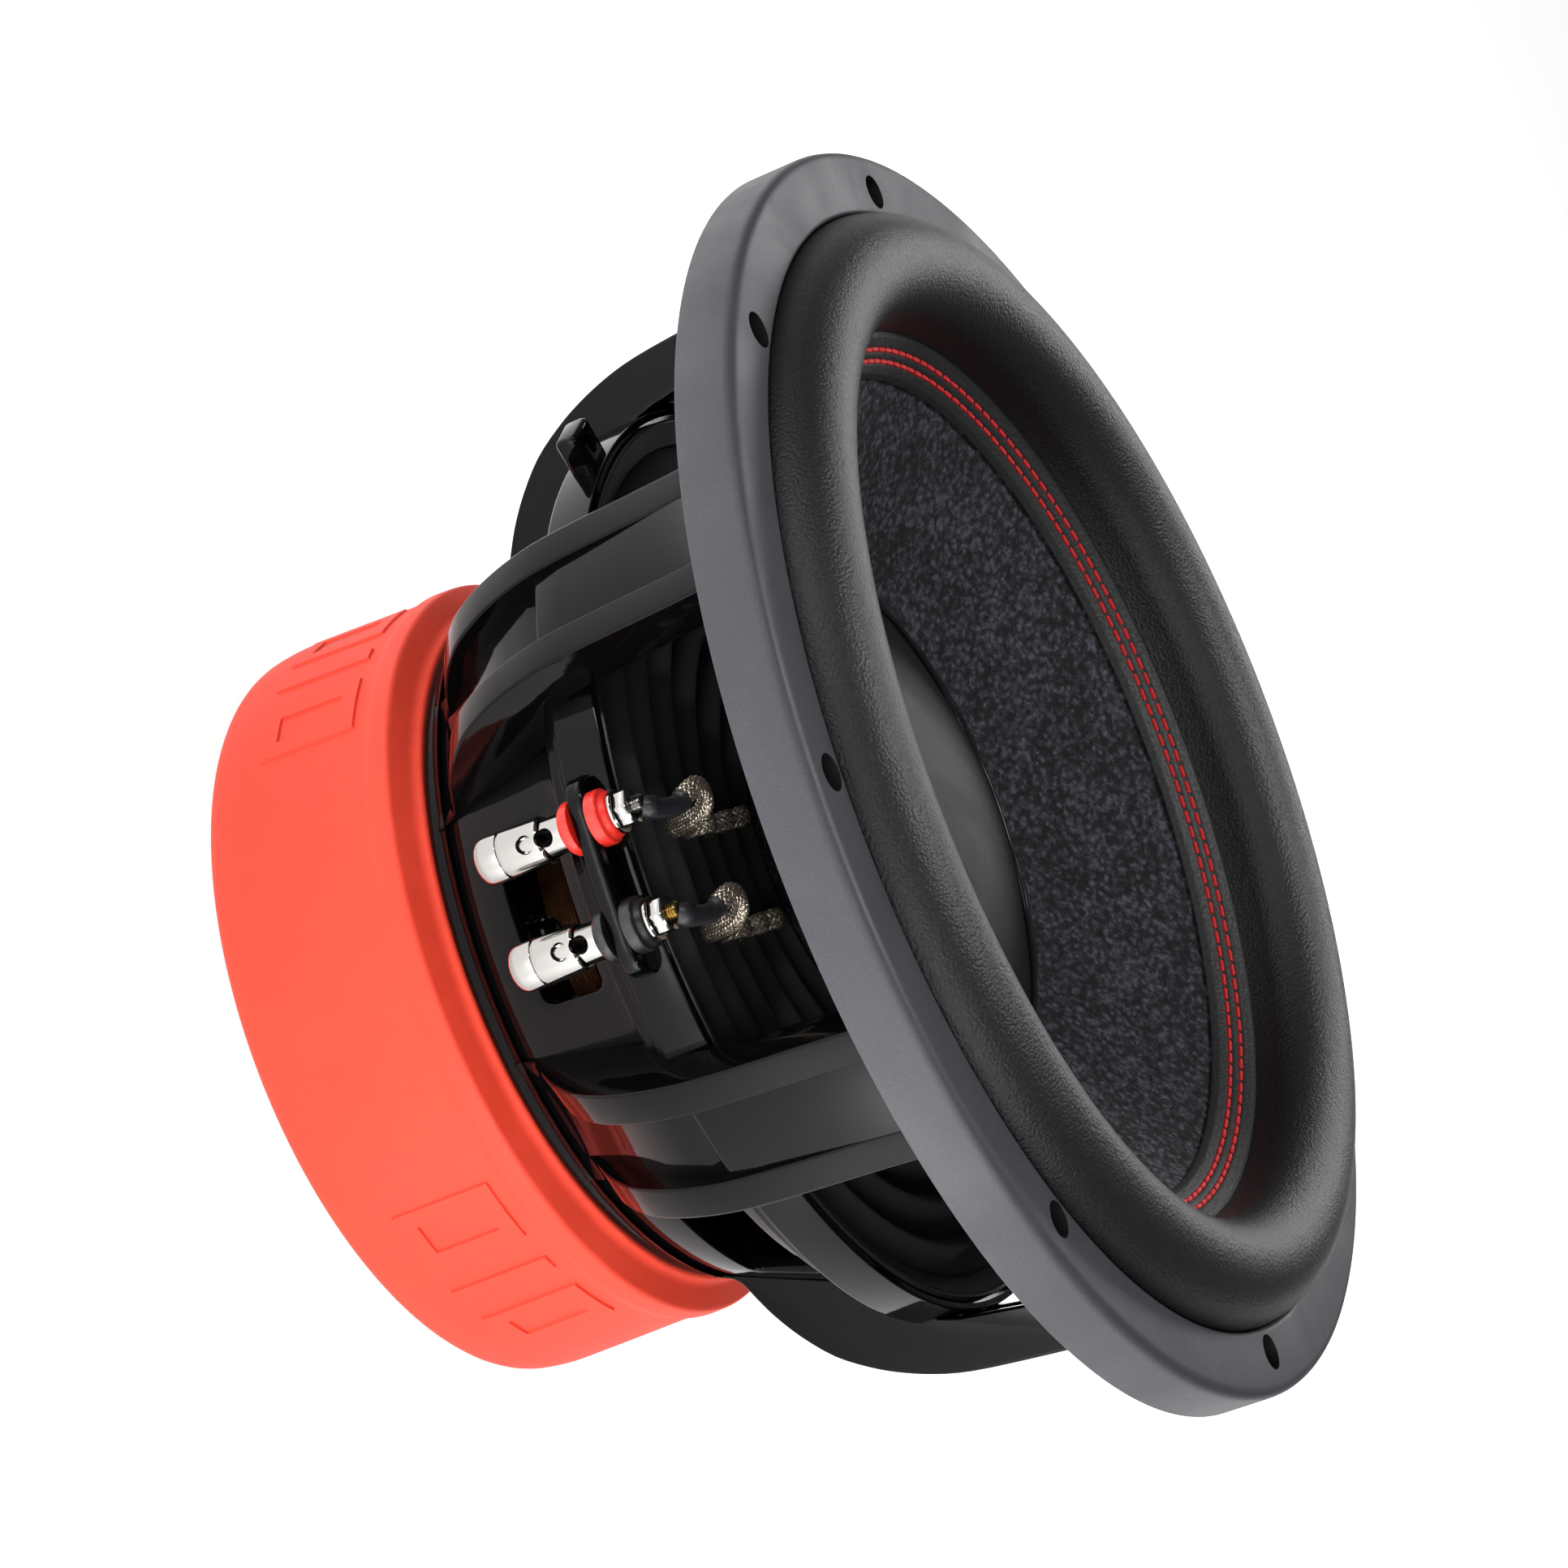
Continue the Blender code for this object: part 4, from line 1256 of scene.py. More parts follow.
        Bench.pick(bowl, mesh, "edges", corner)
        bpy.ops.mesh.bevel(offset=0.0030, segments=5, affect="EDGES", clamp_overlap=True)
        bpy.ops.mesh.select_all(action="DESELECT")
        mesh = bmesh.from_edit_mesh(bowl.data)
        Bench.pick(bowl, mesh, "edges", rim)
        bpy.ops.mesh.bevel(offset=0.0009, segments=3, affect="EDGES", clamp_overlap=True)
        bpy.ops.object.mode_set(mode="OBJECT")

    def flange(self) -> bpy.types.Object:
        """Spin the mounting flange and drill it.

        Returns:
            The drilled flange.
        """
        low, high = self.flange_bottom, self.flange_top
        profile = rounded([(0.1320, high), (0.1576, high), (0.1576, low, 0.0006), (0.1228, low, 0.0012),
                           (0.1228, low + 0.0042, 0.001)])
        flange = Bench.lathe("mounting_flange", profile, self.segments)
        Bench.drill_circle(flange, self.bolt_hole, depth=0.020, height=low, sides=32)
        return flange

    def rib_outline(self) -> list[Point]:
        """One rib of a spoke, seen from the side: its curved face and the back hidden in the bowl.

        Returns:
            The outline's points, as distance from the axis and height.
        """
        top = self.flange_bottom + self.rib_overlap
        knots = [(0.1362, top), (0.1339, 0.1540), (0.1323, 0.1352), (0.1307, 0.1200), (0.1286, 0.1105),
                 (0.1255, 0.1018), (0.1219, 0.0945), (0.1168, 0.0868), (0.1098, 0.0800), (0.1030, 0.0750),
                 (0.0970, 0.0716), (0.0925, 0.0692), (0.0898, 0.0655), (0.0892, 0.0630)]
        face = [(p.x, p.y) for p in smooth([Vector(k) for k in knots], 3)]
        back = [(0.0870, 0.0615), (0.0905, 0.0700), (0.0935, 0.0780), (0.1010, 0.0985), (0.1085, 0.1100),
                (0.1160, 0.1160), (0.1175, 0.1212), (0.1245, top)]
        return face + back

    def spokes(self) -> list[bpy.types.Object]:
        """Model one spoke of two ribs and a stepped web, and copy it round.

        Returns:
            The six spokes.
        """
        ribs = []
        for side in (-1, 1):
            rib = Bench.plate("rib", self.rib_outline(), self.rib_thick)
            Bench.bevel(rib, 0.0017, 4, 40.0)
            rib.location.y = side * self.rib_offset
            Bench.settle(rib)
            ribs.append(rib)
        top = self.flange_bottom + self.rib_overlap
        width = 2 * self.rib_offset - 0.003
        web = Bench.plate("web", [(0.1361, top), (0.1318, 0.1400), (0.1296, 0.1230), (0.1280, 0.1150),
                                  (0.1215, 0.1150), (0.1240, top)], width)
        Bench.bevel(web, 0.0013, 3, 40.0)
        floor = Bench.plate("web_floor", [
            (0.1240, 0.1260), (0.1238, 0.1110), (0.1185, 0.0985), (0.1100, 0.0880), (0.1020, 0.0790),
            (0.0950, 0.0720), (0.0900, 0.0665), (0.0885, 0.0640), (0.0935, 0.0780), (0.1010, 0.0985),
            (0.1085, 0.1100), (0.1170, 0.1200)], width)
        spoke = Bench.join("spoke", ribs + [web, floor])
        return Bench.turned_copies(spoke, [TURN * k / SPOKES for k in range(SPOKES)])

    def ears(self) -> list[bpy.types.Object]:
        """Model the small drilled ear and copy it to its two windows.

        Returns:
            The ears.
        """
        Bench.clear()
        bpy.ops.mesh.primitive_cube_add(size=1.0, location=(0.1205, 0.0, self.tab_bottom + 0.0033))
        ear = bpy.context.object
        ear.name = "ear"
        ear.scale = self.ear_size
        Bench.settle(ear)
        Bench.bevel(ear, 0.0014, 4, 40.0)
        bpy.ops.mesh.primitive_cylinder_add(vertices=32, radius=self.ear_hole, depth=0.03,
                                            location=(0.1222, 0.0, 0.118))
        Bench.cut(ear, bpy.context.object)
        return Bench.turned_copies(ear, [math.radians(turn) for turn in self.ear_turns])

    def tabs(self) -> list[bpy.types.Object]:
        """Model the plate that carries a pair of terminals, and copy it to the back.

        Returns:
            The two plates.
        """
        outline = rounded([
            (-0.0238, 0.1140), (0.0238, 0.1140), (0.0238, 0.1222, 0.004), (0.0180, 0.1252, 0.003),
            (-0.0180, 0.1252, 0.003), (-0.0238, 0.1222, 0.004)], steps=5)
        tab = Bench.plate("tab", outline, self.tab_thick)
        tab.rotation_euler = (math.pi / 2, 0.0, 0.0)
        Bench.settle(tab)
        low = min(v.co.z for v in tab.data.vertices)
        facing = 1 if sum(v.co.y for v in tab.data.vertices) > 0 else -1
        tab.location.z = self.tab_bottom - low
        tab.rotation_euler = (0.0, 0.0, 0.0 if facing > 0 else math.pi)
        Bench.settle(tab)
        Bench.bevel(tab, 0.0008, 3, 40.0)
        return Bench.turned_copies(tab, [0.0, math.pi])


@dataclass
class Motor:
    """The rubber boot, the screws through the basket's base, and finishes for the hidden motor."""

    boot_r: float = 0.0968
    lip_r: float = 0.0660
    screw_circle: float = 0.0590
    screw_seat: float = 0.0639
    bar_groups: tuple[float, ...] = (-145.0, -37.0, 71.0)
    bar_low: float = 0.0165
    bar_high: float = 0.0435
    bar_end: float = 0.0050
    bar_reach: float = 20.0
    bar_pitch: float = 8.0
    bar_width: float = 3.0
    bar_rise: float = 0.00065
    coil_low: float = 0.0392
    wire_pitch: float = 0.00075
    former_low: float = 0.0372
    former_high: float = 0.1232
    hidden: dict[str, Finish] = field(default_factory=lambda: {
        "top_plate": BLACK_STEEL_AND_HOLE_SHADE, "back_plate": ZINC, "magnet_front": FERRITE, "magnet_rear": FERRITE,
        "shorting_sleeve": COPPER})

    def build(self, nodes: dict[str, bpy.types.Object]) -> None:
        """Build the boot and screws, and dress the carried-over nodes.

        Args:
            nodes: The frame's nodes by name.
        """
        self.build_boot()
        self.build_screws()
        self.build_coil()
        for name, finish in self.hidden.items():
            self.dress(nodes[name], finish)

    @staticmethod
    def dress(node: bpy.types.Object, finish: Finish) -> None:
        """Give a carried-over node a finish through its material slots.

        Args:
            node: The carried-over node.
            finish: What it is finished in.
        """
        for slot in node.material_slots:
            slot.link = "OBJECT"
            slot.material = finish.material()

    def build_coil(self) -> None:
        """Spin the former and the winding at its lower end."""
        wall = [(0.0388, self.former_high), (0.0388, self.former_low), (0.0382, self.former_low),
                (0.0382, self.former_high)]
        former = Bench.lathe("former_tube", wall, 128)
        Bench.finish(former, AMBER_FORMER, CONE_BODY, "aluminium", ["coil_former"])
        turns = [(0.0391, self.coil_low)]
        for step in range(40):
            low = self.coil_low + self.wire_pitch * step
            turns += [(0.0408, low + 0.0001), (0.0411, low + self.wire_pitch / 2), (0.0408, low + 0.00065)]
        turns += [(0.0391, 0.0692)]
        winding = Bench.lathe("winding", turns, 96)
        Bench.finish(winding, COPPER, CONE_BODY, "copper", ["voice_coil"], crease=60.0)

    def build_boot(self) -> None:
        """Spin the boot and raise groups of plain bars on its side."""
        inner = self.boot_r - 0.0042
        profile = rounded([
            (0.0876, 0.0590, 0.0008), (0.0892, 0.0590, 0.0008), (0.0903, 0.0570, 0.0012),
            (0.0964, 0.0537, 0.0011), (0.0966, 0.0486, 0.0008), (0.0957, 0.0468, 0.0008),
            (0.0958, 0.0404), (0.0963, 0.0250),
            (self.boot_r - 0.0001, 0.0100, 0.0020), (0.0958, 0.0020, 0.0045), (0.0915, 0.0, 0.0040),
            (self.lip_r, 0.0, 0.0010), (self.lip_r, 0.0027, 0.0006), (0.0885, 0.0027), (inner, 0.0075),
            (inner, 0.0500), (0.0876, 0.0535)], steps=5)
        boot = Bench.lathe("rubber_boot", profile, 360)
        Bench.edit(boot)
        low, high, end = self.bar_low, self.bar_high, self.bar_end
        for height in (low, low + end, high - end, high):
            bpy.ops.mesh.select_all(action="SELECT")
            bpy.ops.mesh.bisect(plane_co=(0, 0, height), plane_no=(0, 0, 1))
        bpy.ops.object.mode_set(mode="OBJECT")
        self.raise_bars(boot)
        Bench.finish(boot, BOOT_CORAL, CHASSIS, "boot_red", ["magnet_boot"], crease=40.0)

    def raise_bars(self, boot: bpy.types.Object) -> None:
        """Select patches of the boot's side and raise them a little, with soft sides.

        Args:
            boot: The boot.
        """
        skin, framed = 0.0945, (0, 3)

        def marked(face: bmesh.types.BMFace) -> bool:
            """Whether a face is part of a raised bar.

            Args:
                face: A face of the boot.

            Returns:
                True where it is to be raised.
            """
            centre = face.calc_center_median()
            if centre.xy.length < skin or not self.bar_low < centre.z < self.bar_high:
                return False
            end = centre.z < self.bar_low + self.bar_end or centre.z > self.bar_high - self.bar_end
            turn = math.degrees(math.atan2(centre.y, centre.x))
            for middle in self.bar_groups:
                away = (turn - middle + 180) % 360 - 180
                bar, rest = divmod(away + self.bar_reach, self.bar_pitch)
                if abs(away) <= self.bar_reach and (rest < self.bar_width or (bar in framed and end)):
                    return True
            return False

        mesh = Bench.edit(boot)
        Bench.pick(boot, mesh, "faces", marked)
        bpy.ops.mesh.inset(thickness=0.0003, depth=0.0)
        bpy.ops.transform.shrink_fatten(value=self.bar_rise)
        bpy.ops.object.mode_set(mode="OBJECT")

    def build_screws(self) -> None:
        """Model one washered pan-head screw with a cross recess, and copy it six times."""
        seat = self.screw_seat
        profile = rounded([
            (0.0, seat + 0.0081), (0.0030, seat + 0.0078, 0.0012), (0.0049, seat + 0.0056, 0.0014),
            (0.0050, seat + 0.0030, 0.0003), (0.0042, seat + 0.0027), (0.0053, seat + 0.0025, 0.0003),
            (0.0053, seat + 0.0014, 0.0003), (0.0045, seat + 0.0012), (0.0064, seat + 0.0011, 0.0003),
            (0.0064, seat, 0.0002), (0.0020, seat),
            (0.0020, seat - 0.0090), (0.0, seat - 0.0090)], steps=4, closed=False)
        screw = Bench.lathe("screw", profile, 40, closed=False)
        blades = []
        for size in ((0.0048, 0.0011), (0.0011, 0.0048)):
            Bench.clear()
            bpy.ops.mesh.primitive_cube_add(size=1.0, location=(0, 0, seat + 0.0080))
            blade = bpy.context.object
            blade.scale = (*size, 0.0036)
            Bench.settle(blade)
            blades.append(blade)
        for blade in blades:
            Bench.cut(screw, blade)
        for k in range(SPOKES):
            angle = TURN * (k + 0.5) / SPOKES
            made = Bench.copy(screw, f"base_screw_{k + 1}")
            made.rotation_euler = (0.0, 0.0, angle + 0.5 * k)
            made.location = (self.screw_circle * math.cos(angle), self.screw_circle * math.sin(angle), 0.0)
            Bench.finish(made, SCREW_STEEL, CHASSIS, "zinc_steel", [f"basket_screw_{k + 1}"])
        bpy.data.objects.remove(screw, do_unlink=True)


@dataclass
class Terminals:
    """Four push terminals with their insulators, nuts, sleeved ends and braided leads."""

    reach: float = 0.1210
    half_pitch: float = 0.01275
    sleeve_bottom: float = 0.0877
    sleeve_top: float = 0.1057
    sleeve_r: float = 0.0057
    bore: float = 0.0050
    post_bottom: float = 0.0967
    post_top: float = 0.1107
    wire_hole: float = 0.0022
    hole_z: float = 0.1068
    travel: float = 0.0048
    tab_bottom: float = 0.1142
    tab_top: float = 0.1186
    spring_r: float = 0.0032
    spring_wire: float = 0.0003
    spring_turns: int = 3
    strands: int = 8
    strand_r: float = 0.00044
    braid_width: float = 0.0019
    braid_thick: float = 0.0010
    braid_lay: float = 0.0105
    braid_bump: float = 0.16
    shrink_r: float = 0.0028
    lead_route: tuple[tuple[float, float, float], ...] = (
        (0.1128, 0.0016, 0.1360), (0.1112, 0.0003, 0.1374), (0.1090, -0.0007, 0.1386),
        (0.1062, 0.0000, 0.1392), (0.1038, 0.0022, 0.1383), (0.1014, 0.0045, 0.1346),
        (0.0986, 0.0048, 0.1300), (0.0962, 0.0046, 0.1262), (0.0938, 0.0043, 0.1236),
        (0.0900, 0.0040, 0.1268), (0.0845, 0.0043, 0.1222), (0.0788, 0.0045, 0.1266),
        (0.0732, 0.0042, 0.1220), (0.0676, 0.0038, 0.1264), (0.0620, 0.0034, 0.1220),
        (0.0564, 0.0028, 0.1258), (0.0508, 0.0024, 0.1218), (0.0470, 0.0020, 0.1208))
    sleeve_route: tuple[tuple[float, float, float], ...] = (
        (0.1206, 0.0008, 0.1300), (0.1198, 0.0014, 0.1312), (0.1186, 0.0022, 0.1322),
        (0.1168, 0.0025, 0.1333), (0.1140, 0.0024, 0.1350), (0.1122, 0.0012, 0.1364))

    def build(self) -> None:
        """Model each kind of piece once, and place a copy of it at every terminal."""
        kinds = {"sleeve": self.model_sleeve(), "post": self.model_post(), "rear": self.model_rear(),
                 "front": self.model_front(), "nut": self.model_nut(), "washer": self.model_washer()}
        for number, (sign, facing) in enumerate([(-1, -1), (1, -1), (-1, 1), (1, 1)], start=1):
            side = Side.POSITIVE if sign < 0 else Side.NEGATIVE
            place = (-facing * sign * self.half_pitch, facing * self.reach, 0.0)
            self.place_set(number, side, place, facing, kinds)
            self.build_lead(number, sign, facing)
        for obj in kinds.values():
            bpy.data.objects.remove(obj, do_unlink=True)

    def place_set(self, number: int, side: Side, place: tuple[float, float, float], facing: int,
                  kinds: dict[str, bpy.types.Object]) -> None:
        """Copy, place and dress one terminal's rigid pieces.

        Args:
            number: The terminal's number, from 1.
            side: Its pole.
            place: Where its axis stands.
            facing: -1 at the front and 1 at the back.
            kinds: The modelled pieces to copy, by kind.
        """
        red = side is Side.POSITIVE
        nylon, slot = (RED_NYLON, "insulator_red") if red else (BLACK_NYLON, "insulator_black")
        stud = NICKEL if red else BRASS
        plan = [("sleeve", f"push_sleeve_piece_{number}", NICKEL, f"push_button_{number}", "nickel",
                 [f"push_sleeve_{number}"]),
                ("post", f"post_piece_{number}", NICKEL, CHASSIS, "nickel", [f"terminal_post_{number}"]),
                ("rear", f"rear_collar_{number}", nylon, CHASSIS, slot, [f"rear_insulator_{number}"]),
                ("front", f"front_collar_{number}", nylon, CHASSIS, slot, [f"front_insulator_{number}"]),
                ("nut", f"hex_nut_{number}", NICKEL, CHASSIS, "nickel", [f"terminal_nut_{number}"]),
                ("washer", f"washer_{number}", NICKEL, CHASSIS, "nickel", [])]
        for kind, name, finish, body, material_slot, nodes in plan:
            made = Bench.copy(kinds[kind], name)
            made.location = place
            if facing > 0:
                made.rotation_euler = (0.0, 0.0, math.pi)
            Bench.finish(made, finish, body, material_slot, nodes)
        self.build_spring(number, place)
        stud_piece = Bench.lathe(f"stud_{number}", self.thread_profile(), 24, closed=False)
        stud_piece.location = place
        Bench.finish(stud_piece, stud, CHASSIS, "nickel", crease=20.0)

    def build_spring(self, number: int, place: tuple[float, float, float]) -> None:
        """Wind the spring between the sleeve's closed end and the post, on no body; the real one closes up
        as it is pushed, but this one stays still.

        Args:
            number: The terminal's number, from 1.
            place: Where its axis stands.
        """
        low, high, steps = self.sleeve_bottom + 0.0015, self.post_bottom - 0.0004, 18
        count = self.spring_turns * steps
        points = []
        for i in range(count + 1):
            angle = TURN * i / steps
            out = Vector((math.cos(angle), math.sin(angle), 0.0)) * self.spring_r
            points.append(Vector((place[0] + out.x, place[1] + out.y, low + (high - low) * (i / count))))
        spring = Bench.tube(f"button_spring_{number}", points, [1.0] * len(points), self.spring_wire, 1)
        Bench.finish(spring, ZINC, None, "zinc_steel", [f"terminal_spring_{number}"], crease=60.0)
        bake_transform(spring)

    def thread_profile(self) -> list[Point]:
        """The stud's threaded end as a row of crests.

        Returns:
            The profile's points, from the tip down.
        """
        profile = [(0.0, 0.1310), (0.0017, 0.1310), (0.0021, 0.1306)]
        z = 0.1304
        while z > 0.1242:
            profile += [(0.0022, z), (0.0018, z - 0.0003)]
            z -= 0.0006
        return profile + [(0.0018, 0.1190), (0.0, 0.1190)]

    def drill(self, obj: bpy.types.Object, radius: float, height: float) -> None:
        """Drill a piece straight through, along Y.

        Args:
            obj: The piece to drill.
            radius: The hole's radius.
            height: The hole's height.
        """
        Bench.clear()
        bpy.ops.mesh.primitive_cylinder_add(vertices=32, radius=radius, depth=0.03, location=(0, 0, height),
                                            rotation=(math.pi / 2, 0, 0))
        Bench.settle(bpy.context.object)
        Bench.cut(obj, bpy.context.object)

    def model_sleeve(self) -> bpy.types.Object:
        """The barrel that is pushed: a domed end, a groove, and a hole that lines up with the post's.

        Returns:
            The sleeve, on the speaker's axis.
        """
        r, low = self.sleeve_r, self.sleeve_bottom
        profile = rounded([
            (self.bore, self.sleeve_top), (r - 0.0003, self.sleeve_top, 0.0003),
            (r, self.sleeve_top - 0.0006, 0.0003),
            (r, 0.0952, 0.0001), (r - 0.00035, 0.0950), (r - 0.00035, 0.0947), (r, 0.0945, 0.0001),
            (r, low + 0.0016, 0.0014), (r - 0.0016, low + 0.0002, 0.0010), (0.0, low), (0.0, low + 0.0012),
            (self.bore, low + 0.0012)], steps=4, closed=True)
        sleeve = Bench.lathe("model_sleeve", profile, 56)
        self.drill(sleeve, self.wire_hole, self.hole_z - self.travel)
        self.drill(sleeve, self.wire_hole, self.hole_z)
        return sleeve

    def model_post(self) -> bpy.types.Object:
        """The fixed rod inside the sleeve, with the wire's hole across it.

        Returns:
            The post, on the speaker's axis.
        """
        profile = rounded([(0.0, self.post_top), (0.0047, self.post_top), (0.0047, self.post_bottom, 0.0004),
                           (0.0, self.post_bottom)], closed=False)
        post = Bench.lathe("model_post", profile, 48, closed=False)
        self.drill(post, self.wire_hole, self.hole_z)
        return post

    def model_rear(self) -> bpy.types.Object:
        """The collar between the post and the tab.

        Returns:
            The collar, on the speaker's axis.
        """
        profile = rounded([(0.0024, self.tab_bottom - 0.0001), (0.0064, self.tab_bottom - 0.0001, 0.0003),
                           (0.0065, 0.1123, 0.0005), (0.0055, 0.1110, 0.0004), (0.0024, 0.1110)])
        return Bench.lathe("model_rear", profile, 48)

    def model_front(self) -> bpy.types.Object:
        """The collar in front of the tab: a wide foot, a waist and a rounded top.

        Returns:
            The collar, on the speaker's axis.
        """
        low = self.tab_top + 0.0001
        profile = rounded([
            (0.0024, low + 0.0052), (0.0052, low + 0.0052, 0.0008), (0.0058, low + 0.0034, 0.0006),
            (0.0066, low + 0.0030, 0.0006), (0.0066, low, 0.0004), (0.0024, low)])
        return Bench.lathe("model_front", profile, 48)

    def model_washer(self) -> bpy.types.Object:
        """The plain washer under the nut.

        Returns:
            The washer, on the speaker's axis.
        """
        low = self.tab_top + 0.0054
        profile = rounded([(0.0024, low + 0.0008), (0.0052, low + 0.0008, 0.0002), (0.0052, low, 0.0002),
                           (0.0024, low)])
        return Bench.lathe("model_washer", profile, 40)

    def model_nut(self) -> bpy.types.Object:
        """A chamfered hex nut.

        Returns:
            The nut, on the speaker's axis.
        """
        Bench.clear()
        low, tall = self.tab_top + 0.0063, 0.0034
        bpy.ops.mesh.primitive_cylinder_add(vertices=6, radius=0.0046, depth=tall,
                                            location=(0, 0, low + tall / 2))
        nut = bpy.context.object
        nut.name = "model_nut"
        Bench.settle(nut)
        Bench.bevel(nut, 0.0004, 2, 50.0)
        bpy.ops.mesh.primitive_cylinder_add(vertices=24, radius=0.0021, depth=0.02, location=(0, 0, low))
        Bench.cut(nut, bpy.context.object)
        return nut

    def world(self, route: Sequence[Sequence[float]], sign: int, facing: int) -> list[Vector]:
        """A route's points for one terminal, in the frame.

        Args:
            route: Points as distance from the axis, shift sideways and height.
            sign: Which terminal of the pair.
            facing: -1 at the front and 1 at the back.

        Returns:
            The points in the frame.
        """
        along = sign * self.half_pitch
        return [Vector((-facing * (along + out), facing * away, z)) for away, out, z in route]

    def build_lead(self, number: int, sign: int, facing: int) -> None:
        """Plait one lead from crossing strands, and cover its end with shrink tube.

        Args:
            number: The terminal's number, from 1.
            sign: Which terminal of the pair.
            facing: -1 at the front and 1 at the back.
        """
        path = smooth(self.world(self.lead_route, sign, facing), 11)
        across = Vector((facing * 1.0, 0.0, 0.0))
        parts, lengths = [], [0.0]
        for here, there in zip(path, path[1:]):
            lengths.append(lengths[-1] + (there - here).length)
        for way, strand in [(w, k) for w in (-1, 1) for k in range(self.strands)]:
            points = []
            for i, place in enumerate(path):
                ahead = path[min(i + 1, len(path) - 1)] - path[max(i - 1, 0)]
                side = (across - ahead * (across.dot(ahead) / ahead.length_squared)).normalized()
                over = ahead.cross(side).normalized()
                turn = lengths[i] / self.braid_lay
                phase = TURN * (way * turn + strand / self.strands)
                lift = 1.0 + self.braid_bump * way * math.cos(TURN * turn * self.strands)
                points.append(place + side * self.braid_width * lift * math.cos(phase)
                              + over * self.braid_thick * lift * math.sin(phase))
            name = f"strand_{number}_{way}_{strand}"
            parts.append(Bench.tube(name, points, [1.0] * len(points), self.strand_r, 1))
        lead = Bench.join(f"braided_lead_{number}", parts)
        Bench.finish(lead, BRAID, None, "tinned_braid", [f"tinsel_lead_{number}"], crease=60.0)
        radial_weights(lead, LIMP_OUTER, LIMP_INNER)
        tail = smooth(self.world(self.sleeve_route, sign, facing), 6)
        last = len(tail) - 1
        swollen = [0.86 + 0.14 * math.sin(math.pi * min(1.0, 2.2 * i / last)) for i in range(last - 1)]
        radii = swollen + [0.94, 0.94]
        sleeve = Bench.tube(f"shrink_sleeve_{number}", tail, radii, self.shrink_r, 6)
        Bench.finish(sleeve, SHRINK, CHASSIS, "shrink_black", [f"lead_sleeve_{number}"], crease=50.0)


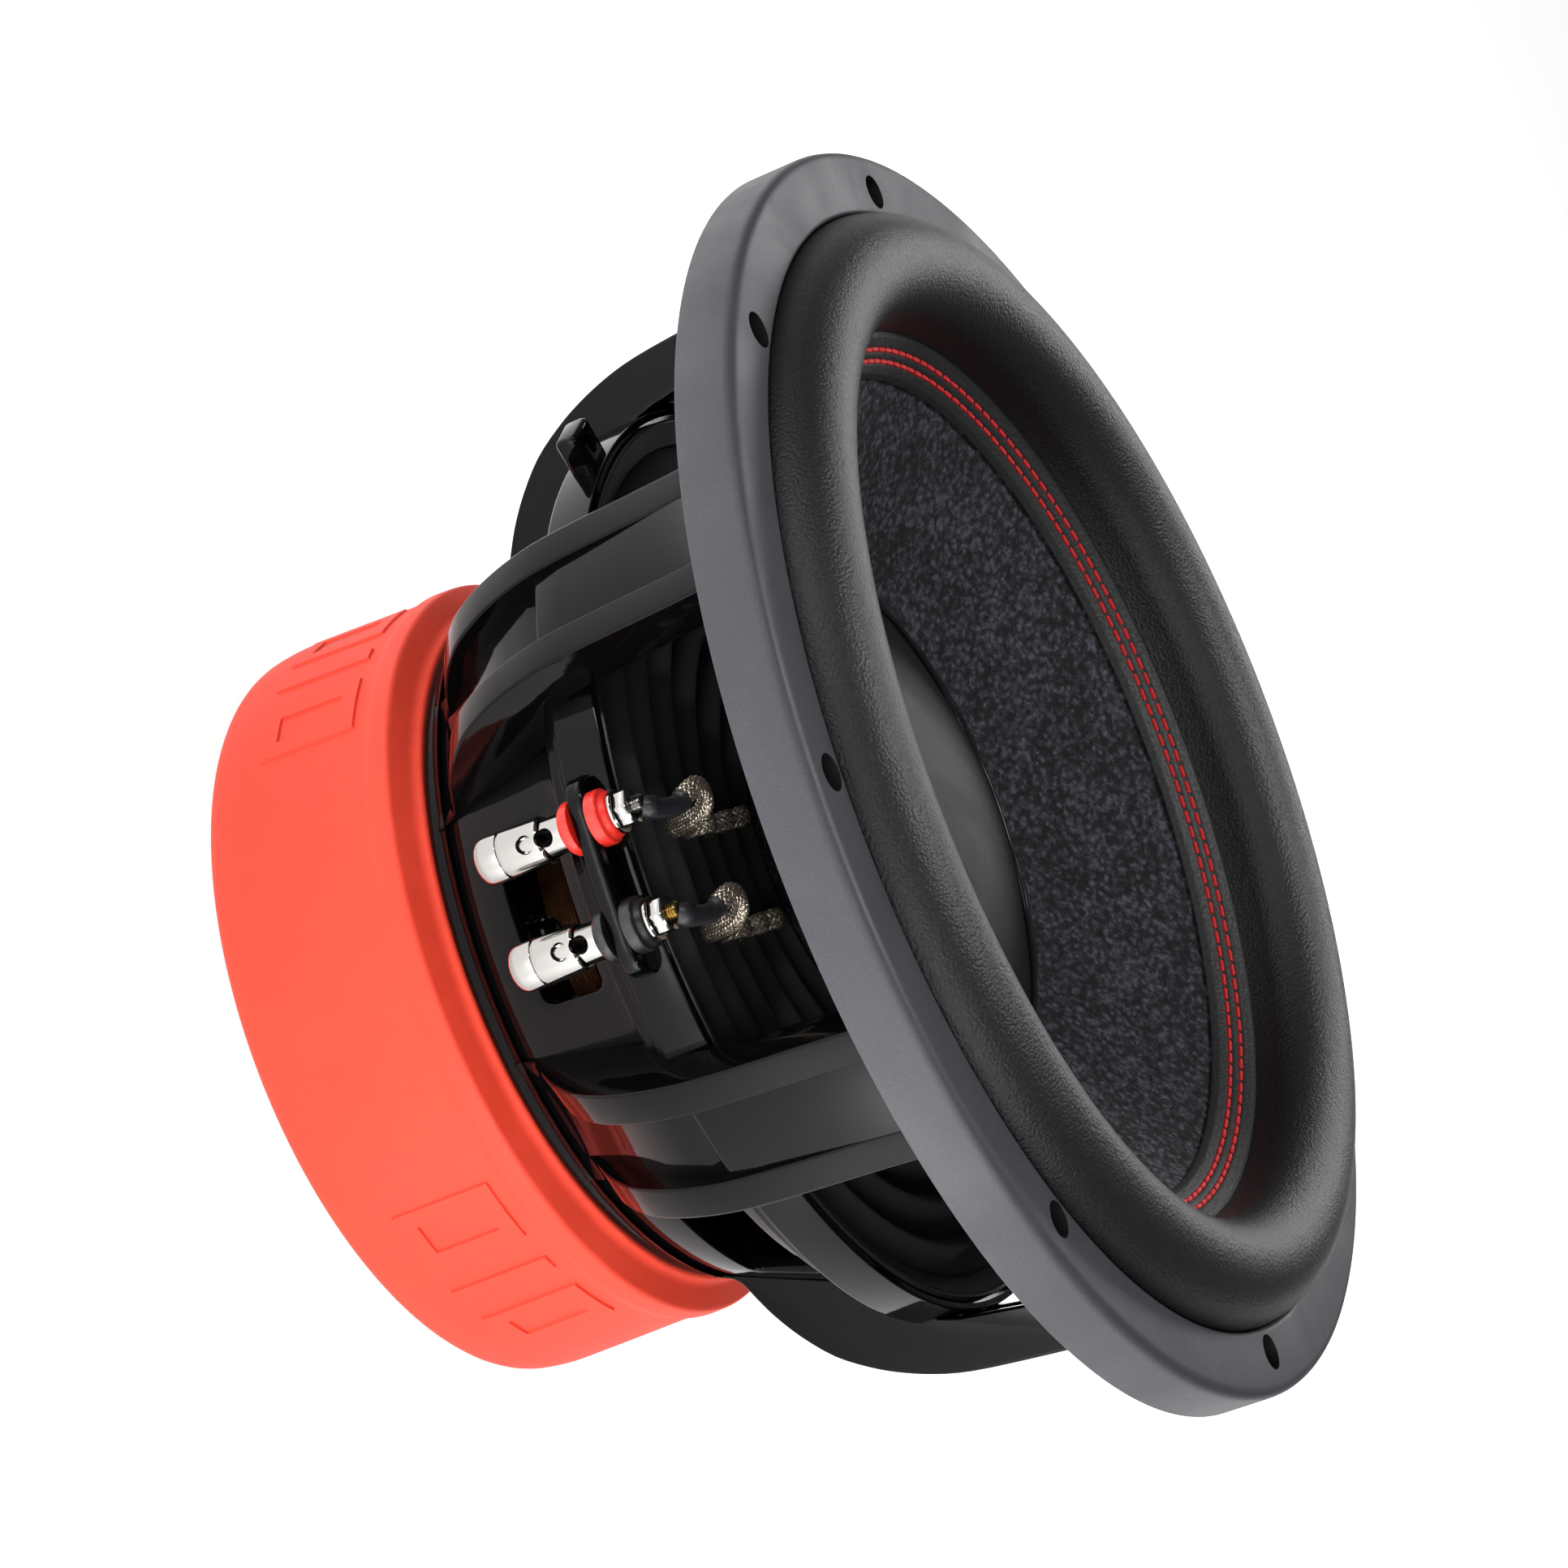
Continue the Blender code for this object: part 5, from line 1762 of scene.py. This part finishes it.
@dataclass
class Studio:
    """Floor, soft lights and camera."""

    camera_at: tuple[float, float, float] = (0.13071531, -1.16535325, 0.59378652)
    aim: tuple[float, float, float] = (-0.0184109, -0.0174853, 0.1219173)
    roll: float = 68.69
    lens: float = 117.886
    ambient: float = 0.13

    def build(self) -> None:
        """Set the stage."""
        Bench.clear()
        bpy.ops.mesh.primitive_plane_add(size=14.0, location=(0, 0, -0.0004))
        floor = bpy.context.object
        floor.name = "studio_floor"
        paint = Paint("floor_paint", (0.90, 0.90, 0.90), 0.8)
        paint.fix("Emission Color", (1.0, 1.0, 1.0, 1.0))
        paint.fix("Emission Strength", 0.74)
        paint.fix("Specular IOR Level", 0.1)
        floor.data.materials.append(paint.material)
        self.light("key_strip", (-0.95, -1.05, 0.45), 6.5, (0.11, 1.3))
        self.light("side_strip", (0.95, -0.85, 0.30), 5.5, (0.10, 1.0))
        self.light("front_box", (0.40, -1.60, 0.70), 5.0, (0.7, 0.7))
        self.light("top_box", (-0.15, 0.20, 1.60), 12.0, (0.22, 0.6))
        self.light("rim_strip", (-0.35, 1.25, 0.75), 5.0, (0.9, 0.2))
        self.pool("right_pool", (0.44, -0.36, 0.12), 3.0, (0.16, 0.30), 35.0)
        self.pool("near_pool", (0.02, -0.50, 0.08), 1.0, (0.30, 0.03), 0.0)
        self.pool("left_pool", (-0.42, -0.20, 0.08), 0.5, (0.03, 0.30), 25.0)
        world = bpy.data.worlds.new("studio")
        world.use_nodes = True
        world.node_tree.nodes["Background"].inputs["Color"].default_value = (1.0, 1.0, 1.0, 1.0)
        world.node_tree.nodes["Background"].inputs["Strength"].default_value = self.ambient
        bpy.context.scene.world = world
        bpy.context.scene.view_settings.view_transform = "Standard"
        self.place_camera()

    def light(self, name: str, place: tuple[float, float, float], power: float, size: Point) -> None:
        """Hang one soft box, turned to the speaker.

        Args:
            name: The light's name.
            place: Where it hangs.
            power: Its power in watts.
            size: Its width and height.
        """
        data = bpy.data.lights.new(name, "AREA")
        data.shape, data.size, data.size_y, data.energy = "RECTANGLE", size[0], size[1], power
        lamp = bpy.data.objects.new(name, data)
        bpy.context.scene.collection.objects.link(lamp)
        lamp.location = place
        lamp.rotation_euler = (Vector((0, 0, 0.12)) - Vector(place)).to_track_quat("-Z", "Y").to_euler()

    def pool(self, name: str, place: tuple[float, float, float], power: float, size: Point,
             turn: float) -> None:
        """Hang one lamp low over the floor, to light a patch that the gloss paint mirrors.

        Args:
            name: The light's name.
            place: Where it hangs.
            power: Its power in watts.
            size: Its width and height.
            turn: Its turn about the vertical, in degrees.
        """
        self.light(name, place, power, size)
        bpy.data.objects[name].rotation_euler = (0.0, 0.0, math.radians(turn))

    def place_camera(self) -> None:
        """Point the camera and roll it about its own axis."""
        data = bpy.data.cameras.new("view")
        data.lens, data.sensor_width = self.lens, 36.0
        data.clip_start, data.clip_end = 0.05, 50.0
        camera = bpy.data.objects.new("view", data)
        bpy.context.scene.collection.objects.link(camera)
        look = (Vector(self.aim) - Vector(self.camera_at)).to_track_quat("-Z", "Y").to_matrix().to_4x4()
        camera.matrix_world = (Matrix.Translation(self.camera_at) @ look
                               @ Matrix.Rotation(math.radians(self.roll), 4, "Z"))
        bpy.context.scene.camera = camera


def main() -> None:
    """Load the frame, build every sub-assembly on it, and log each one."""
    logging.basicConfig(level=logging.INFO, format="%(message)s", stream=sys.stdout)
    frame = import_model()
    Studio().build()
    for assembly in (TrimRing(), Suspension(), ConeGroup(), Basket(), Terminals()):
        assembly.build()
        LOG.info("built %s", type(assembly).__name__)
    Motor().build(frame["nodes"])
    LOG.info("built Motor")


if __name__ == "__main__":
    main()
